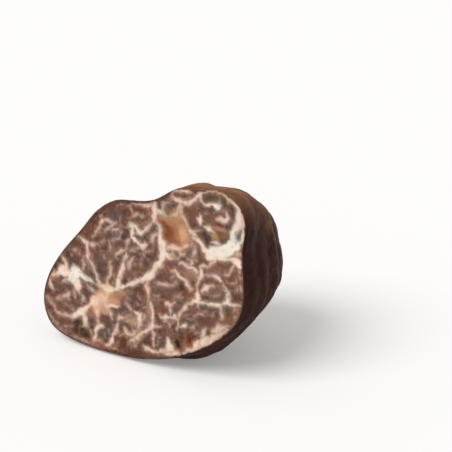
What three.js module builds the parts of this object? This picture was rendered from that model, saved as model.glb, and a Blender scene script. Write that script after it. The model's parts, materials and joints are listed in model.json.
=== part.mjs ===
// Half of a bianchetto truffle (Tuber borchii), cut in two with a knife. It is one solid, as it grew: a lumpy
// rind at the back and sides, a flat cut face at the front, and a small flat spot that it rests on.
//
// Millimetres, +Z up. The cut face looks towards -Y and leans back a little. The origin is on the surface
// that the truffle rests on, under the middle of its box.

import * as THREE from "three";
import { mergeVertices } from "three/addons/utils/BufferGeometryUtils.js";

// Driving dimensions.
const BODY_DEPTH = 23; // from the cut face to the back, square to the face
const FACE_LEAN = 5; // degrees that the cut face leans back from upright
const RIM_CLEARANCE = 0.4; // how far the lowest point of the rim stands above the table
const PRESS = 1.1; // the underside turns from flat to round over twice this height

// The edge of the cut face, seen from the front: [to the right, up] from a point near its middle. It is a
// leaning bean: a high lobe at the right with a crease in its top, a shallow dip in the top edge, and a low
// lobe at the left.
const RIM = [
  [18.6, 0.0],
  [18.1, 5.6],
  [18.0, 7.7],
  [18.4, 11.0],
  [17.3, 14.0],
  [14.2, 15.9],
  [11.6, 16.0],
  [10.1, 15.5],
  [9.1, 15.1],
  [8.0, 15.4],
  [6.6, 15.4],
  [5.0, 14.7],
  [1.6, 12.5],
  [-1.5, 11.65],
  [-6.1, 11.0],
  [-9.9, 8.5],
  [-13.1, 4.6],
  [-17.3, -0.4],
  [-20.2, -5.4],
  [-21.0, -10.0],
  [-19.2, -13.8],
  [-14.0, -15.5],
  [-7.2, -15.9],
  [-0.5, -15.3],
  [6.0, -13.3],
  [12.2, -9.9],
  [16.7, -5.9],
  [18.3, -2.8],
];

// The back pole, where the rind is furthest from the cut: [to the right, up] of the face's middle.
const BACK_POLE = new THREE.Vector2(3.9, -0.4);

// How fast the body widens just behind the cut, as a share of its radius there. It swells most below the
// right of the face and least above the left of it.
const SWELL = { mean: 0.02, swing: 0.14, towards: -50 };

// Swellings (height above 0) and hollows (below 0) of the rind. Each sits on the meridian that leaves the rim
// at `around` degrees, seen from the front with 0 at the right and 90 at the top, and `back` of the way from
// the rim to the back pole. It fades out over its `reach`.
const LUMPS = [
  { around: 70, back: 0.2, reach: 6, height: 1.1 },
  { around: 45, back: 0.32, reach: 7, height: -1.0 },
  { around: 40, back: 0.6, reach: 8, height: -0.5 },
  { around: 110, back: 0.35, reach: 8, height: -3.1 },
  { around: 5, back: 0.4, reach: 8, height: 0.8 },
  { around: -10, back: 0.7, reach: 8, height: 3.0 },
  { around: -35, back: 0.6, reach: 8, height: -3.2 },
  { around: -50, back: 0.3, reach: 7, height: 1.4 },
  { around: -80, back: 0.25, reach: 6, height: 1.6 },
  { around: -105, back: 0.4, reach: 10, height: 1.8 },
  { around: 150, back: 0.6, reach: 9, height: 1.8 },
  { around: 205, back: 0.6, reach: 9, height: 1.4 },
  { around: 250, back: 0.85, reach: 6, height: -0.8 },
];

const LUMP_CORE = 0.3; // lumps swell away from a point this share of the depth behind the face
const LUMP_FADE = 0.2; // and fade out over this share of the depth, so that the cut keeps its outline

// Small unevenness all over the rind: each wave's height, and its length and start along X, Y and Z.
const WAVES = [
  { height: 0.45, length: [20, 17, 22], start: [1.3, 0.4, 2.1] },
  { height: 0.2, length: [7.6, 8.8, 8.2], start: [0.6, 1.9, 0.2] },
];

// The hollow in the cut face, an old gap between the folds of the flesh. Width and length run to each side
// of its middle, and it is turned anticlockwise.
const HOLLOW = { right: 5.2, up: 7.7, width: 2.1, length: 2.6, turn: 50, depth: 2.0 };

// How finely the body is cut into facets.
const AROUND = 88;
const FACE_RINGS = 17;
const RIND_RINGS = 25;

const radians = THREE.MathUtils.degToRad;

const rimCurve = new THREE.CatmullRomCurve3(
  RIM.map(([right, up]) => new THREE.Vector3(right, 0, up)),
  true,
  "centripetal",
);

// How far the cut face is sunk at a point of it.
function hollowDepth(right, up) {
  const turn = radians(HOLLOW.turn);
  const across = (right - HOLLOW.right) * Math.cos(turn) + (up - HOLLOW.up) * Math.sin(turn);
  const along = (up - HOLLOW.up) * Math.cos(turn) - (right - HOLLOW.right) * Math.sin(turn);
  const reach = Math.hypot(across / HOLLOW.width, along / HOLLOW.length);
  return HOLLOW.depth * Math.exp(-(reach ** 4));
}

// A point of the cut face: `out` is 0 at its middle and 1 at the rim.
function facePoint(rim, out) {
  const point = rim.clone().multiplyScalar(out);
  point.y += hollowDepth(point.x, point.z);
  return point;
}

// A point of the plain rind, before its lumps: `back` is 0 at the rim and 1 at the back pole.
function plainRindPoint(rim, back) {
  const turn = (back * Math.PI) / 2;
  const around = Math.atan2(rim.z, rim.x);
  const swell = SWELL.mean + SWELL.swing * Math.cos(around - radians(SWELL.towards));
  const width = Math.cos(turn) + (swell * Math.sin(2 * turn)) / 2;
  const shift = 1 - Math.cos(turn);
  return new THREE.Vector3(
    rim.x * width + BACK_POLE.x * shift,
    BODY_DEPTH * Math.sin(turn),
    rim.z * width + BACK_POLE.y * shift,
  );
}

// The rim point at an angle, found by walking along the rim curve.
function rimAtAngle(degrees) {
  const wanted = new THREE.Vector2(Math.cos(radians(degrees)), Math.sin(radians(degrees)));
  const along = (point) => wanted.dot(new THREE.Vector2(point.x, point.z).normalize());
  return rimCurve.getSpacedPoints(360).reduce((best, p) => (along(p) > along(best) ? p : best));
}

const lumpCentres = LUMPS.map((lump) => plainRindPoint(rimAtAngle(lump.around), lump.back));

// How far the small waves lift a point of the rind.
function waveLift(point) {
  const at = point.toArray();
  const wave = ({ height, length, start }) =>
    at.reduce((product, x, i) => product * Math.sin((2 * Math.PI * x) / length[i] + start[i]), height);
  return WAVES.reduce((sum, one) => sum + wave(one), 0);
}

// A point of the rind with its lumps.
function rindPoint(rim, back) {
  const plain = plainRindPoint(rim, back);
  const outward = plain.clone().sub(new THREE.Vector3(0, BODY_DEPTH * LUMP_CORE, 0)).normalize();
  let lift = waveLift(plain);
  LUMPS.forEach((lump, i) => {
    const away = plain.distanceTo(lumpCentres[i]) / lump.reach;
    lift += lump.height * Math.exp(-(away ** 2));
  });
  const fade = THREE.MathUtils.smoothstep(plain.y, 0, BODY_DEPTH * LUMP_FADE);
  return plain.addScaledVector(outward, lift * fade);
}

// The height of a point once the body's weight has pressed its underside flat on the table.
function pressed(height) {
  if (height <= -PRESS) return 0;
  if (height >= PRESS) return height;
  return (height + PRESS) ** 2 / (4 * PRESS);
}

// The whole body: a ball whose front is flattened onto the knife's plane and whose back is the rind.
function truffleGeometry() {
  const rings = FACE_RINGS + RIND_RINGS;
  const ball = new THREE.SphereGeometry(1, AROUND, rings);
  const places = ball.getAttribute("position");
  for (let ring = 0, index = 0; ring <= rings; ring++) {
    for (let step = 0; step <= AROUND; step++, index++) {
      const rim = rimCurve.getPointAt((step % AROUND) / AROUND);
      const onFace = ring <= FACE_RINGS;
      const point = onFace
        ? facePoint(rim, ring / FACE_RINGS)
        : rindPoint(rim, (ring - FACE_RINGS) / RIND_RINGS);
      places.setXYZ(index, point.x, point.y, point.z);
    }
  }
  ball.deleteAttribute("normal");
  ball.deleteAttribute("uv");
  return mergeVertices(ball, 1e-3);
}

// Leans the body back, sets it down, presses its underside flat and puts the origin under its middle.
function setDown(geometry) {
  const lean = new THREE.Euler(-radians(FACE_LEAN), 0, 0);
  geometry.rotateX(lean.x);
  const rimHeights = rimCurve.getSpacedPoints(360).map((point) => point.applyEuler(lean).z);
  geometry.translate(0, 0, RIM_CLEARANCE - Math.min(...rimHeights));
  const places = geometry.getAttribute("position");
  for (let i = 0; i < places.count; i++) places.setZ(i, pressed(places.getZ(i)));
  geometry.computeBoundingBox();
  const middle = geometry.boundingBox.getCenter(new THREE.Vector3());
  geometry.translate(-middle.x, -middle.y, 0);
  geometry.computeVertexNormals();
  return geometry;
}

const rindBrown = new THREE.MeshStandardMaterial({ color: 0x7a523c, roughness: 0.75, metalness: 0 });

const truffle = new THREE.Mesh(setDown(truffleGeometry()), rindBrown);
truffle.name = "truffle";

const part = new THREE.Group();
part.add(truffle);

export default part;
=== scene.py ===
# %% [markdown]
# # Half of a bianchetto truffle
# This file dresses one natural thing: a bianchetto truffle that a knife has cut in two, standing on
# its belly with the marbled flesh to the front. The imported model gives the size, the place of the cut
# and the spot it rests on. Everything else, the fine skin, the veins and the colours, is made here.
# The frame is loaded first, and its box is kept, because the finished truffle must still fill it.

# %% Load the frame
import json
import math
import bmesh
import bpy
import numpy as np
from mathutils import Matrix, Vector
from mathutils.bvhtree import BVHTree


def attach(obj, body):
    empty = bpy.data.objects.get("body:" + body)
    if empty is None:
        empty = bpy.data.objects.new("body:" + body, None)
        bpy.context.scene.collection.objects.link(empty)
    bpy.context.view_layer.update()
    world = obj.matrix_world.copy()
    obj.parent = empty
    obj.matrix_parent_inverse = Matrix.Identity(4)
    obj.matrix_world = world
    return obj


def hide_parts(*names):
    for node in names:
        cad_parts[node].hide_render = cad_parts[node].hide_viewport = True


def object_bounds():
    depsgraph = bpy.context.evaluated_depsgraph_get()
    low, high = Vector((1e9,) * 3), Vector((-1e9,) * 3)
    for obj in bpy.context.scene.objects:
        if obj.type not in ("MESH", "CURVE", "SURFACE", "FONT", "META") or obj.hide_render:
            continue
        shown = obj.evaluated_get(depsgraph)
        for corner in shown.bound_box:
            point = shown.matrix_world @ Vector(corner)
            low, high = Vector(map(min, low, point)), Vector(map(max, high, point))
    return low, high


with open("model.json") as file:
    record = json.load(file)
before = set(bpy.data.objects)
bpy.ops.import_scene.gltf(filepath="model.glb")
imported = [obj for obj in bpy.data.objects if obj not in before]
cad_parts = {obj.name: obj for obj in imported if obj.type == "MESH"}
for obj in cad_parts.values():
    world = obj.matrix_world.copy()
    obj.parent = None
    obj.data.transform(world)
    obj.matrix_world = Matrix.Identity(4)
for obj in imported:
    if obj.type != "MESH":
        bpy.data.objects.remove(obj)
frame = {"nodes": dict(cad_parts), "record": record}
cad_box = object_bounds()
MM = 0.001
print("box in mm:", [round((high - low) / MM, 2) for low, high in zip(*cad_box)])

# %% [markdown]
# ## The knife's plane
# Every place on the cut is told as a cook would: so far right and so far up from the middle of the
# face. The record's mount on the face gives that middle and the way the face looks, so the two
# directions along the cut follow from it and nothing has to be measured twice.

# %% The knife's plane
mounts = {mount["name"]: mount for mount in frame["record"]["mounts"]}
MIDDLE = np.array(mounts["cut_face"]["pos_m"])
OUT = np.array(mounts["cut_face"]["axis"], dtype=float)
OUT /= np.linalg.norm(OUT)
RIGHT = np.array([1.0, 0.0, 0.0])
UP = np.cross(OUT, RIGHT)


def on_cut(right, up, out=0.0):
    """A point in space from millimetres right, up and out of the middle of the cut."""
    return MIDDLE + (right * RIGHT + up * UP + out * OUT) * MM


print("middle of the cut:", MIDDLE.round(5), "it looks along", OUT.round(3))

# %% [markdown]
# ## Camera
# A long lens a hand's length away, a little above the table and round to the right of the cut, so the
# face is seen at a slant with a band of rind beside it. The lens keeps the outline free of the
# swelling that a short one gives to a small thing. The aim is up and to the right of the truffle,
# which leaves it low and left in the picture.

# %% Camera
CAMERA_ROUND = math.radians(32)
CAMERA_RISE = math.radians(21)
CAMERA_FAR = 203.0
LENS = 100.0
NEAREST_SEEN = 10.0
AIM_RIGHT = 13.10
AIM_UP = 7.44

backwards = np.array([
    math.sin(CAMERA_ROUND) * math.cos(CAMERA_RISE),
    -math.cos(CAMERA_ROUND) * math.cos(CAMERA_RISE),
    math.sin(CAMERA_RISE),
])
sideways = np.array([math.cos(CAMERA_ROUND), math.sin(CAMERA_ROUND), 0.0])
upwards = np.cross(backwards, sideways)
aim = MIDDLE + (AIM_RIGHT * sideways + AIM_UP * upwards) * MM

camera_data = bpy.data.cameras.new("camera")
camera_data.lens = LENS
camera_data.clip_start = NEAREST_SEEN * MM
camera = bpy.data.objects.new("camera", camera_data)
camera.location = aim + backwards * CAMERA_FAR * MM
camera.rotation_euler = Vector(backwards).to_track_quat("Z", "Y").to_euler()
bpy.context.scene.collection.objects.link(camera)
bpy.context.scene.camera = camera
print("camera at", [round(value, 4) for value in camera.location])

# %% [markdown]
# ## Small helpers for nodes
# Materials and Geometry Nodes trees are both nets of nodes. One helper adds a node and fills its
# sockets, each with a plain value or with another node's output, and four short ones cover what is
# asked for again and again: arithmetic, a soft step, a mix of two colours and a named attribute.
# Colours are written as a painter's chart gives them, 0 to 255, and turned into the linear values
# that light adds up in.

# %% Node helpers


def add(tree, kind, sockets=None, **settings):
    """Adds one node; sockets maps an input's name or number to a value or to an output."""
    made = tree.nodes.new(kind)
    for name, value in settings.items():
        setattr(made, name, value)
    for key, value in (sockets or {}).items():
        if isinstance(value, bpy.types.NodeSocket):
            tree.links.new(value, made.inputs[key])
        else:
            made.inputs[key].default_value = value
    return made


def calc(tree, operation, *values):
    """The result of one Math node."""
    return add(tree, "ShaderNodeMath", dict(enumerate(values)), operation=operation).outputs[0]


def step(tree, value, low, high, bottom=0.0, top=1.0):
    """Goes smoothly from bottom to top while value goes from low to high."""
    sockets = dict(enumerate([value, low, high, bottom, top]))
    return add(tree, "ShaderNodeMapRange", sockets, interpolation_type="SMOOTHSTEP").outputs[0]


def mixed(tree, amount, first, second, blend="MIX"):
    """Two colours mixed: first where amount is 0, second where it is 1."""
    sockets = {0: amount, 6: first, 7: second}
    return add(tree, "ShaderNodeMix", sockets, data_type="RGBA", blend_type=blend).outputs[2]


def to_linear(colour):
    """Linear red, green and blue of a colour written 0 to 255."""
    share = np.asarray(colour, dtype=float) / 255
    return np.where(share <= 0.04045, share / 12.92, ((share + 0.055) / 1.055) ** 2.4)


def paint(red, green, blue):
    """A colour as a node's socket takes it."""
    return (*to_linear((red, green, blue)), 1.0)


print("clay brown is", [round(value, 3) for value in paint(150, 105, 80)])

# %% [markdown]
# ## Table and light
# The truffle stands on a plain pale table under a broad soft lamp, high on the left, with an even
# white sky to fill the shadows. The lamp and the sky together add up to about one, so a colour comes
# out about as it is written. The table only looks white to the camera and in reflections: for the
# truffle it is a matt grey-white, and it keeps the truffle's soft shadow.

# %% Table and light
SKY_LIGHT = 0.42
LAMP_LIGHT = 0.62
LAMP_ROUND = math.radians(-22)
LAMP_RISE = math.radians(48)
LAMP_SOFTNESS = math.radians(36)
WHITE = (1.0, 1.0, 1.0, 1.0)
TABLE_GLOW = 0.22
TABLE_RADIUS = 3000.0
TABLE_SIDES = 96


def seen_directly(tree):
    """1 for what the camera or a reflection sees, 0 for light on its way to the truffle."""
    path = add(tree, "ShaderNodeLightPath").outputs
    return calc(tree, "MAXIMUM", path["Is Camera Ray"], path["Is Glossy Ray"])


def make_sky():
    world = bpy.data.worlds.new("white_sky")
    world.use_nodes = True
    tree = world.node_tree
    background = tree.nodes["Background"]
    background.inputs["Color"].default_value = WHITE
    strength = step(tree, seen_directly(tree), 0.0, 1.0, SKY_LIGHT, 1.0)
    tree.links.new(strength, background.inputs["Strength"])
    bpy.context.scene.world = world


def make_lamp():
    lamp_data = bpy.data.lights.new("soft_lamp", "SUN")
    lamp_data.energy = LAMP_LIGHT * math.pi
    lamp_data.angle = LAMP_SOFTNESS
    lamp = bpy.data.objects.new("soft_lamp", lamp_data)
    towards = Vector((
        math.sin(LAMP_ROUND) * math.cos(LAMP_RISE),
        -math.cos(LAMP_ROUND) * math.cos(LAMP_RISE),
        math.sin(LAMP_RISE),
    ))
    lamp.rotation_euler = towards.to_track_quat("Z", "Y").to_euler()
    bpy.context.scene.collection.objects.link(lamp)


def make_table():
    radius = TABLE_RADIUS * MM
    bpy.ops.mesh.primitive_circle_add(vertices=TABLE_SIDES, radius=radius, fill_type="NGON")
    table = bpy.context.object
    table.name = "table"
    material = bpy.data.materials.new("matt_white")
    material.use_nodes = True
    tree = material.node_tree
    shader = tree.nodes["Principled BSDF"]
    shader.inputs["Base Color"].default_value = paint(240, 239, 237)
    shader.inputs["Roughness"].default_value = 1.0
    shader.inputs["Specular IOR Level"].default_value = 0.0
    shader.inputs["Emission Color"].default_value = WHITE
    glow = calc(tree, "MULTIPLY", seen_directly(tree), TABLE_GLOW)
    tree.links.new(glow, shader.inputs["Emission Strength"])
    table.data.materials.append(material)


make_sky()
make_lamp()
make_table()
bpy.context.scene.view_settings.view_transform = "Standard"
print("table, sky and lamp are in place")

# %% [markdown]
# ## The body's net
# A truffle has no seams, so its skin wants one closed net with small, even squares. A ball from a
# menu would crowd its squares at two poles. Here two square nets are pulled round onto discs: one
# becomes the cut, the other is blown up behind it into the rind, and they share their outermost ring,
# which is the knife's edge. The squares are about a seventh of a millimetre wide on the cut and a
# quarter on the rind, fine enough for veins, wrinkles and pores to be real relief.

# %% Square nets pulled onto discs
RINGS = 110


def disc_net(rings):
    """For each knot of a square net: how far out it lies (0 to 1) and its angle on the disc."""
    line = np.arange(-rings, rings + 1, dtype=float)
    across, along = np.meshgrid(line, line, indexing="xy")
    ring = np.maximum(abs(across), abs(along))
    wide = abs(across) >= abs(along)
    safe_across = np.where(across == 0, 1, across)
    safe_along = np.where(along == 0, 1, along)
    sideways_angle = np.pi / 4 * along / safe_across + np.where(across < 0, np.pi, 0)
    upright_angle = np.pi / 2 - np.pi / 4 * across / safe_along + np.where(along < 0, np.pi, 0)
    return ring / rings, np.where(wide, sideways_angle, upright_angle)


reach, turn = disc_net(RINGS)
print("each net has", reach.size, "knots")

# %% [markdown]
# ## Taking the shape from the frame
# Rays cast at the frame's truffle give its shape. The frame's body has coarse flat facets, so the fine
# net is then relaxed: each knot moves to the middle of its neighbours a number of times, which rounds
# the facets away and leaves the lumps.

# %% Rays and relaxing
LEAST_GAP = 0.01


def joined_skin(node):
    """The frame body's skin, its loose triangles joined, as a tree that rays can be cast at."""
    net = bmesh.new()
    net.from_mesh(node.data)
    bmesh.ops.remove_doubles(net, verts=net.verts, dist=LEAST_GAP * MM)
    skin = BVHTree.FromBMesh(net)
    net.free()
    return skin


def hit_distance(skin, start, way):
    """How far a ray goes before it meets the skin, in millimetres."""
    return skin.ray_cast(Vector(start), Vector(way))[3] / MM


def relaxed(knots, rounds):
    """Moves each inner knot of a net to the middle of its four neighbours, round after round."""
    knots = knots.copy()
    for _ in range(rounds):
        beside = knots[1:-1, :-2] + knots[1:-1, 2:]
        above = knots[:-2, 1:-1] + knots[2:, 1:-1]
        knots[1:-1, 1:-1] = (beside + above) / 4
    return knots


skin = joined_skin(frame["nodes"]["truffle"])
reach_right = hit_distance(skin, on_cut(0, 0, -1), RIGHT)
print("from the middle of the cut it is about", round(reach_right, 1), "mm to the right edge")

# %% [markdown]
# From outside, just behind the cut, the rays find the outline of the face. From in front they find how
# deep its hollow is, and keep clear of the knife's edge, where they could miss. From the heart of the
# truffle they find the rind.

# %% Outline, face and rind
OUTSIDE = 40.0
BEHIND_CUT = 0.15
OUTLINE_STEPS = 1440
OUTLINE_SMOOTHING = 7
HOLLOW_ROUNDS = 60
RIND_ROUNDS = 40
RAYS_REACH = 0.96


def find_outline(skin):
    """The face's radius in millimetres at even angles round its middle."""
    angles = np.arange(OUTLINE_STEPS) * 2 * np.pi / OUTLINE_STEPS
    radii = []
    for angle in angles:
        way = math.cos(angle) * RIGHT + math.sin(angle) * UP
        start = MIDDLE + (way * OUTSIDE - OUT * BEHIND_CUT) * MM
        radii.append(OUTSIDE - hit_distance(skin, start, -way))
    spread = np.arange(-3 * OUTLINE_SMOOTHING, 3 * OUTLINE_SMOOTHING + 1)
    weights = np.exp(-0.5 * (spread / OUTLINE_SMOOTHING) ** 2)
    weights /= weights.sum()
    smooth = sum(weight * np.roll(radii, shift) for weight, shift in zip(weights, spread))
    return angles, smooth


def lay_face(skin, angles, radii):
    """Places on the cut in millimetres (right, up) and how far each lies in front of the plane."""
    radius = np.interp(turn % (2 * np.pi), angles, radii, period=2 * np.pi) * reach
    right = radius * np.cos(turn)
    up = radius * np.sin(turn)
    height = np.zeros_like(right)
    for place in zip(*np.where(reach < RAYS_REACH)):
        start = on_cut(right[place], up[place], OUTSIDE)
        height[place] = OUTSIDE - hit_distance(skin, start, -OUT)
    return right, up, relaxed(height, HOLLOW_ROUNDS)


def blow_rind(skin, edge):
    """Knots on the rind, from the knife's edge round to the back."""
    heart = (np.array(cad_box[0]) + np.array(cad_box[1])) / 2
    to_edge = edge - heart
    to_edge /= np.linalg.norm(to_edge, axis=-1, keepdims=True)
    bend = np.arccos(np.clip(to_edge @ -OUT, -1, 1))[..., None]
    share = reach[..., None]
    ways = (np.sin(share * bend) * to_edge - np.sin((1 - share) * bend) * OUT) / np.sin(bend)
    knots = edge.copy()
    for place in zip(*np.where(reach < 1)):
        knots[place] = heart + ways[place] * hit_distance(skin, heart, ways[place]) * MM
    return relaxed(knots, RIND_ROUNDS)


outline_angles, outline_radii = find_outline(skin)
face_right, face_up, face_height = lay_face(skin, outline_angles, outline_radii)
face_knots = MIDDLE + MM * (
    face_right[..., None] * RIGHT + face_up[..., None] * UP + face_height[..., None] * OUT
)
edge_radius = np.interp(turn % (2 * np.pi), outline_angles, outline_radii, period=2 * np.pi)
edge_knots = MIDDLE + MM * edge_radius[..., None] * (
    np.cos(turn)[..., None] * RIGHT + np.sin(turn)[..., None] * UP
)
rind_knots = blow_rind(skin, edge_knots)
print("face is", round(np.ptp(face_right), 1), "by", round(np.ptp(face_up), 1), "mm; the hollow is",
      round(-face_height.min(), 2), "mm deep")

# %% [markdown]
# ## Drawing the veins
# The veins of a truffle are pale sterile tissue. They run in from the rind, meet in a few thick knots
# and fray out into threads, and no two truffles share a pattern, so no rule gives the right one. They
# are drawn stroke by stroke, as one would with a brush: a tint, how strongly it covers, and
# points in millimetres right and up from the middle of the cut. A third number is the stroke's width
# at that point; points between take a width in between. Two strengths fade a stroke along its way.

# %% Tints
TINTS = {
    "chalk": (246, 253, 240),
    "cream": (250, 232, 211),
    "blush": (247, 216, 200),
    "pearl": (222, 201, 190),
    "straw": (230, 197, 166),
    "peach": (250, 208, 174),
}
print(len(TINTS), "tints")

# %% [markdown]
# The left of the face comes first. A milky patch lies near the rind, and spokes run from it and from
# the rind above it to the knot where the thickest veins meet. Higher up there are only thin veins.

# %% Veins on the left
VEINS = {
    "left patch": [
        ("blush", 1.0, (-17.6, -3.3, 0.9), (-16.8, -3.5, 2.1), (-15.9, -3.6, 2.3)),
        ("chalk", 1.0, (-15.8, -3.8, 0.9), (-15.1, -3.8, 1.5), (-14.2, -3.6, 1.9), (-13.4, -3.4, 1.5)),
        ("chalk", 1.0, (-15.3, -2.9, 0.7), (-14.3, -2.6, 0.8), (-13.2, -2.6, 0.8), (-12.6, -3.1, 0.7)),
        ("chalk", (1.0, 0.6), (-13.2, -3.3, 1.3), (-12.4, -3.6, 0.9), (-11.6, -3.9, 0.6),
         (-10.6, -4.1, 0.4), (-9.8, -4.2, 0.35)),
        ("chalk", 0.95, (-15.4, -4.5, 0.7), (-14.4, -4.6, 0.9), (-13.6, -4.5, 0.9)),
        ("chalk", (0.95, 0.45), (-15.0, -4.6, 0.7), (-15.9, -4.9, 0.6), (-16.6, -5.3),
         (-17.1, -5.8, 0.35)),
        ("blush", (0.95, 0.5), (-16.1, -2.9, 1.0), (-16.1, -2.2, 0.9), (-16.4, -1.6, 0.6),
         (-17.1, -1.0, 0.5), (-17.7, -0.6, 0.3)),
        ("blush", (1.0, 0.8), (-13.3, -4.6, 1.7), (-13.8, -5.6, 1.3), (-13.5, -6.3, 0.7),
         (-13.2, -7.0, 0.4)),
        ("pearl", 0.55, (-14.2, -5.6, 0.6), (-14.4, -6.4, 0.4), (-14.5, -7.2, 0.3)),
        ("pearl", (0.5, 0.35), (-12.9, -7.0, 0.9), (-12.6, -7.6, 1.0), (-12.8, -8.3, 0.7)),
        ("straw", 0.4, (-14.0, -6.6, 0.6), (-14.0, -7.6)),
        ("blush", (0.9, 0.45), (-17.1, -3.7, 1.1), (-18.1, -4.3, 0.7), (-19.0, -4.6, 0.5),
         (-19.7, -4.8, 0.4)),
        ("straw", 0.4, (-18.9, -3.6, 0.4), (-18.8, -4.6)),
        ("pearl", 0.75, (-11.7, -4.8, 0.35), (-10.8, -5.2), (-10.0, -5.7), (-9.5, -6.1, 0.45)),
        ("cream", 0.8, (-10.1, -4.3, 0.35), (-9.2, -4.1)),
        ("pearl", 0.3, (-12.8, -4.5, 0.3), (-11.8, -4.4), (-10.8, -4.6)),
    ],
    "left spokes": [
        ("cream", (0.5, 0.9), (-13.9, 3.4, 0.4), (-13.0, 2.9), (-12.3, 2.6, 0.6), (-11.8, 2.3, 0.9)),
        ("blush", (0.95, 0.7), (-11.8, 2.5, 0.9), (-11.7, 1.6, 0.6), (-11.5, 0.8, 0.5),
         (-11.5, 0.1, 0.6), (-11.3, -0.5, 0.6)),
        ("pearl", (0.75, 0.95), (-11.5, -0.2, 0.6), (-10.8, -1.0, 0.5), (-10.3, -1.8, 0.5),
         (-9.8, -2.6, 0.45), (-9.4, -3.4), (-8.9, -4.0, 0.7)),
        ("blush", (0.7, 0.3), (-11.8, 2.3, 0.5), (-10.8, 2.4), (-10.1, 2.6, 0.35), (-9.5, 2.7)),
        ("straw", 0.5, (-12.5, 0.1, 0.5), (-12.6, -0.6, 0.6), (-12.4, -1.4, 0.8), (-12.8, -2.4, 0.8)),
        ("straw", 0.25, (-11.7, -0.6, 0.7), (-11.9, -1.5, 0.9), (-12.2, -2.3)),
        ("pearl", 0.4, (-15.0, 0.7, 0.35), (-14.2, 0.5), (-13.4, 0.4, 0.6)),
        ("pearl", 0.2, (-15.6, -0.8, 0.3), (-14.9, -0.2), (-14.4, -0.9)),
    ],
    "top left": [
        ("blush", (0.95, 0.7), (-7.9, 7.4, 0.4), (-8.7, 7.0, 0.55), (-9.2, 6.3, 0.4)),
        ("blush", (0.6, 0.1), (-9.2, 6.3, 0.35), (-9.6, 5.5, 0.3), (-10.1, 4.7), (-10.8, 3.8),
         (-11.3, 3.2)),
        ("pearl", 0.65, (-8.1, 7.3, 0.4), (-7.3, 7.2), (-6.6, 7.1, 0.5), (-6.0, 7.3, 0.3)),
        ("pearl", 0.7, (-6.6, 7.0, 0.5), (-6.9, 6.4, 0.4), (-7.5, 5.8), (-8.1, 5.3, 0.4)),
        ("pearl", 0.8, (-6.6, 5.6, 0.4), (-6.0, 5.8, 0.45), (-5.4, 6.0, 0.4)),
        ("pearl", 0.55, (-4.9, 5.6, 0.35), (-4.6, 5.8)),
        ("pearl", 0.5, (-7.1, 3.7, 0.45), (-6.4, 4.2, 0.4), (-5.7, 4.5), (-5.0, 4.8, 0.3)),
        ("cream", 0.65, (-7.2, 3.7, 0.6), (-7.1, 3.0, 0.45), (-7.1, 2.2, 0.3)),
        ("pearl", 0.5, (-8.9, 3.3, 0.6), (-8.3, 3.6, 0.5)),
        ("straw", 0.25, (-9.4, 7.7, 0.4), (-8.6, 8.2), (-7.8, 8.8), (-7.2, 9.4)),
        ("straw", 0.35, (-6.0, 9.9, 0.35), (-5.0, 10.4), (-4.0, 10.6), (-3.1, 10.4)),
        ("straw", 0.55, (-2.7, 9.0, 0.6), (-1.9, 9.3, 0.7), (-1.1, 9.1, 0.6), (-0.5, 9.5, 0.4)),
        ("blush", 0.35, (-3.2, 10.2, 0.5), (-2.8, 9.5, 0.6)),
        ("pearl", 0.3, (-5.3, 8.3, 0.3), (-5.2, 7.4), (-5.1, 6.6)),
        ("pearl", 0.25, (-9.0, 4.8, 0.3), (-8.4, 4.2), (-8.6, 3.7)),
    ],
}
print(sum(len(strokes) for strokes in VEINS.values()), "strokes so far")

# %% [markdown]
# The broadest vein sweeps from the knot up to the foot of the hollow. A stem rises from there to the
# rind, and a stem on the far side of the hollow parts it from the top lobe.

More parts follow.
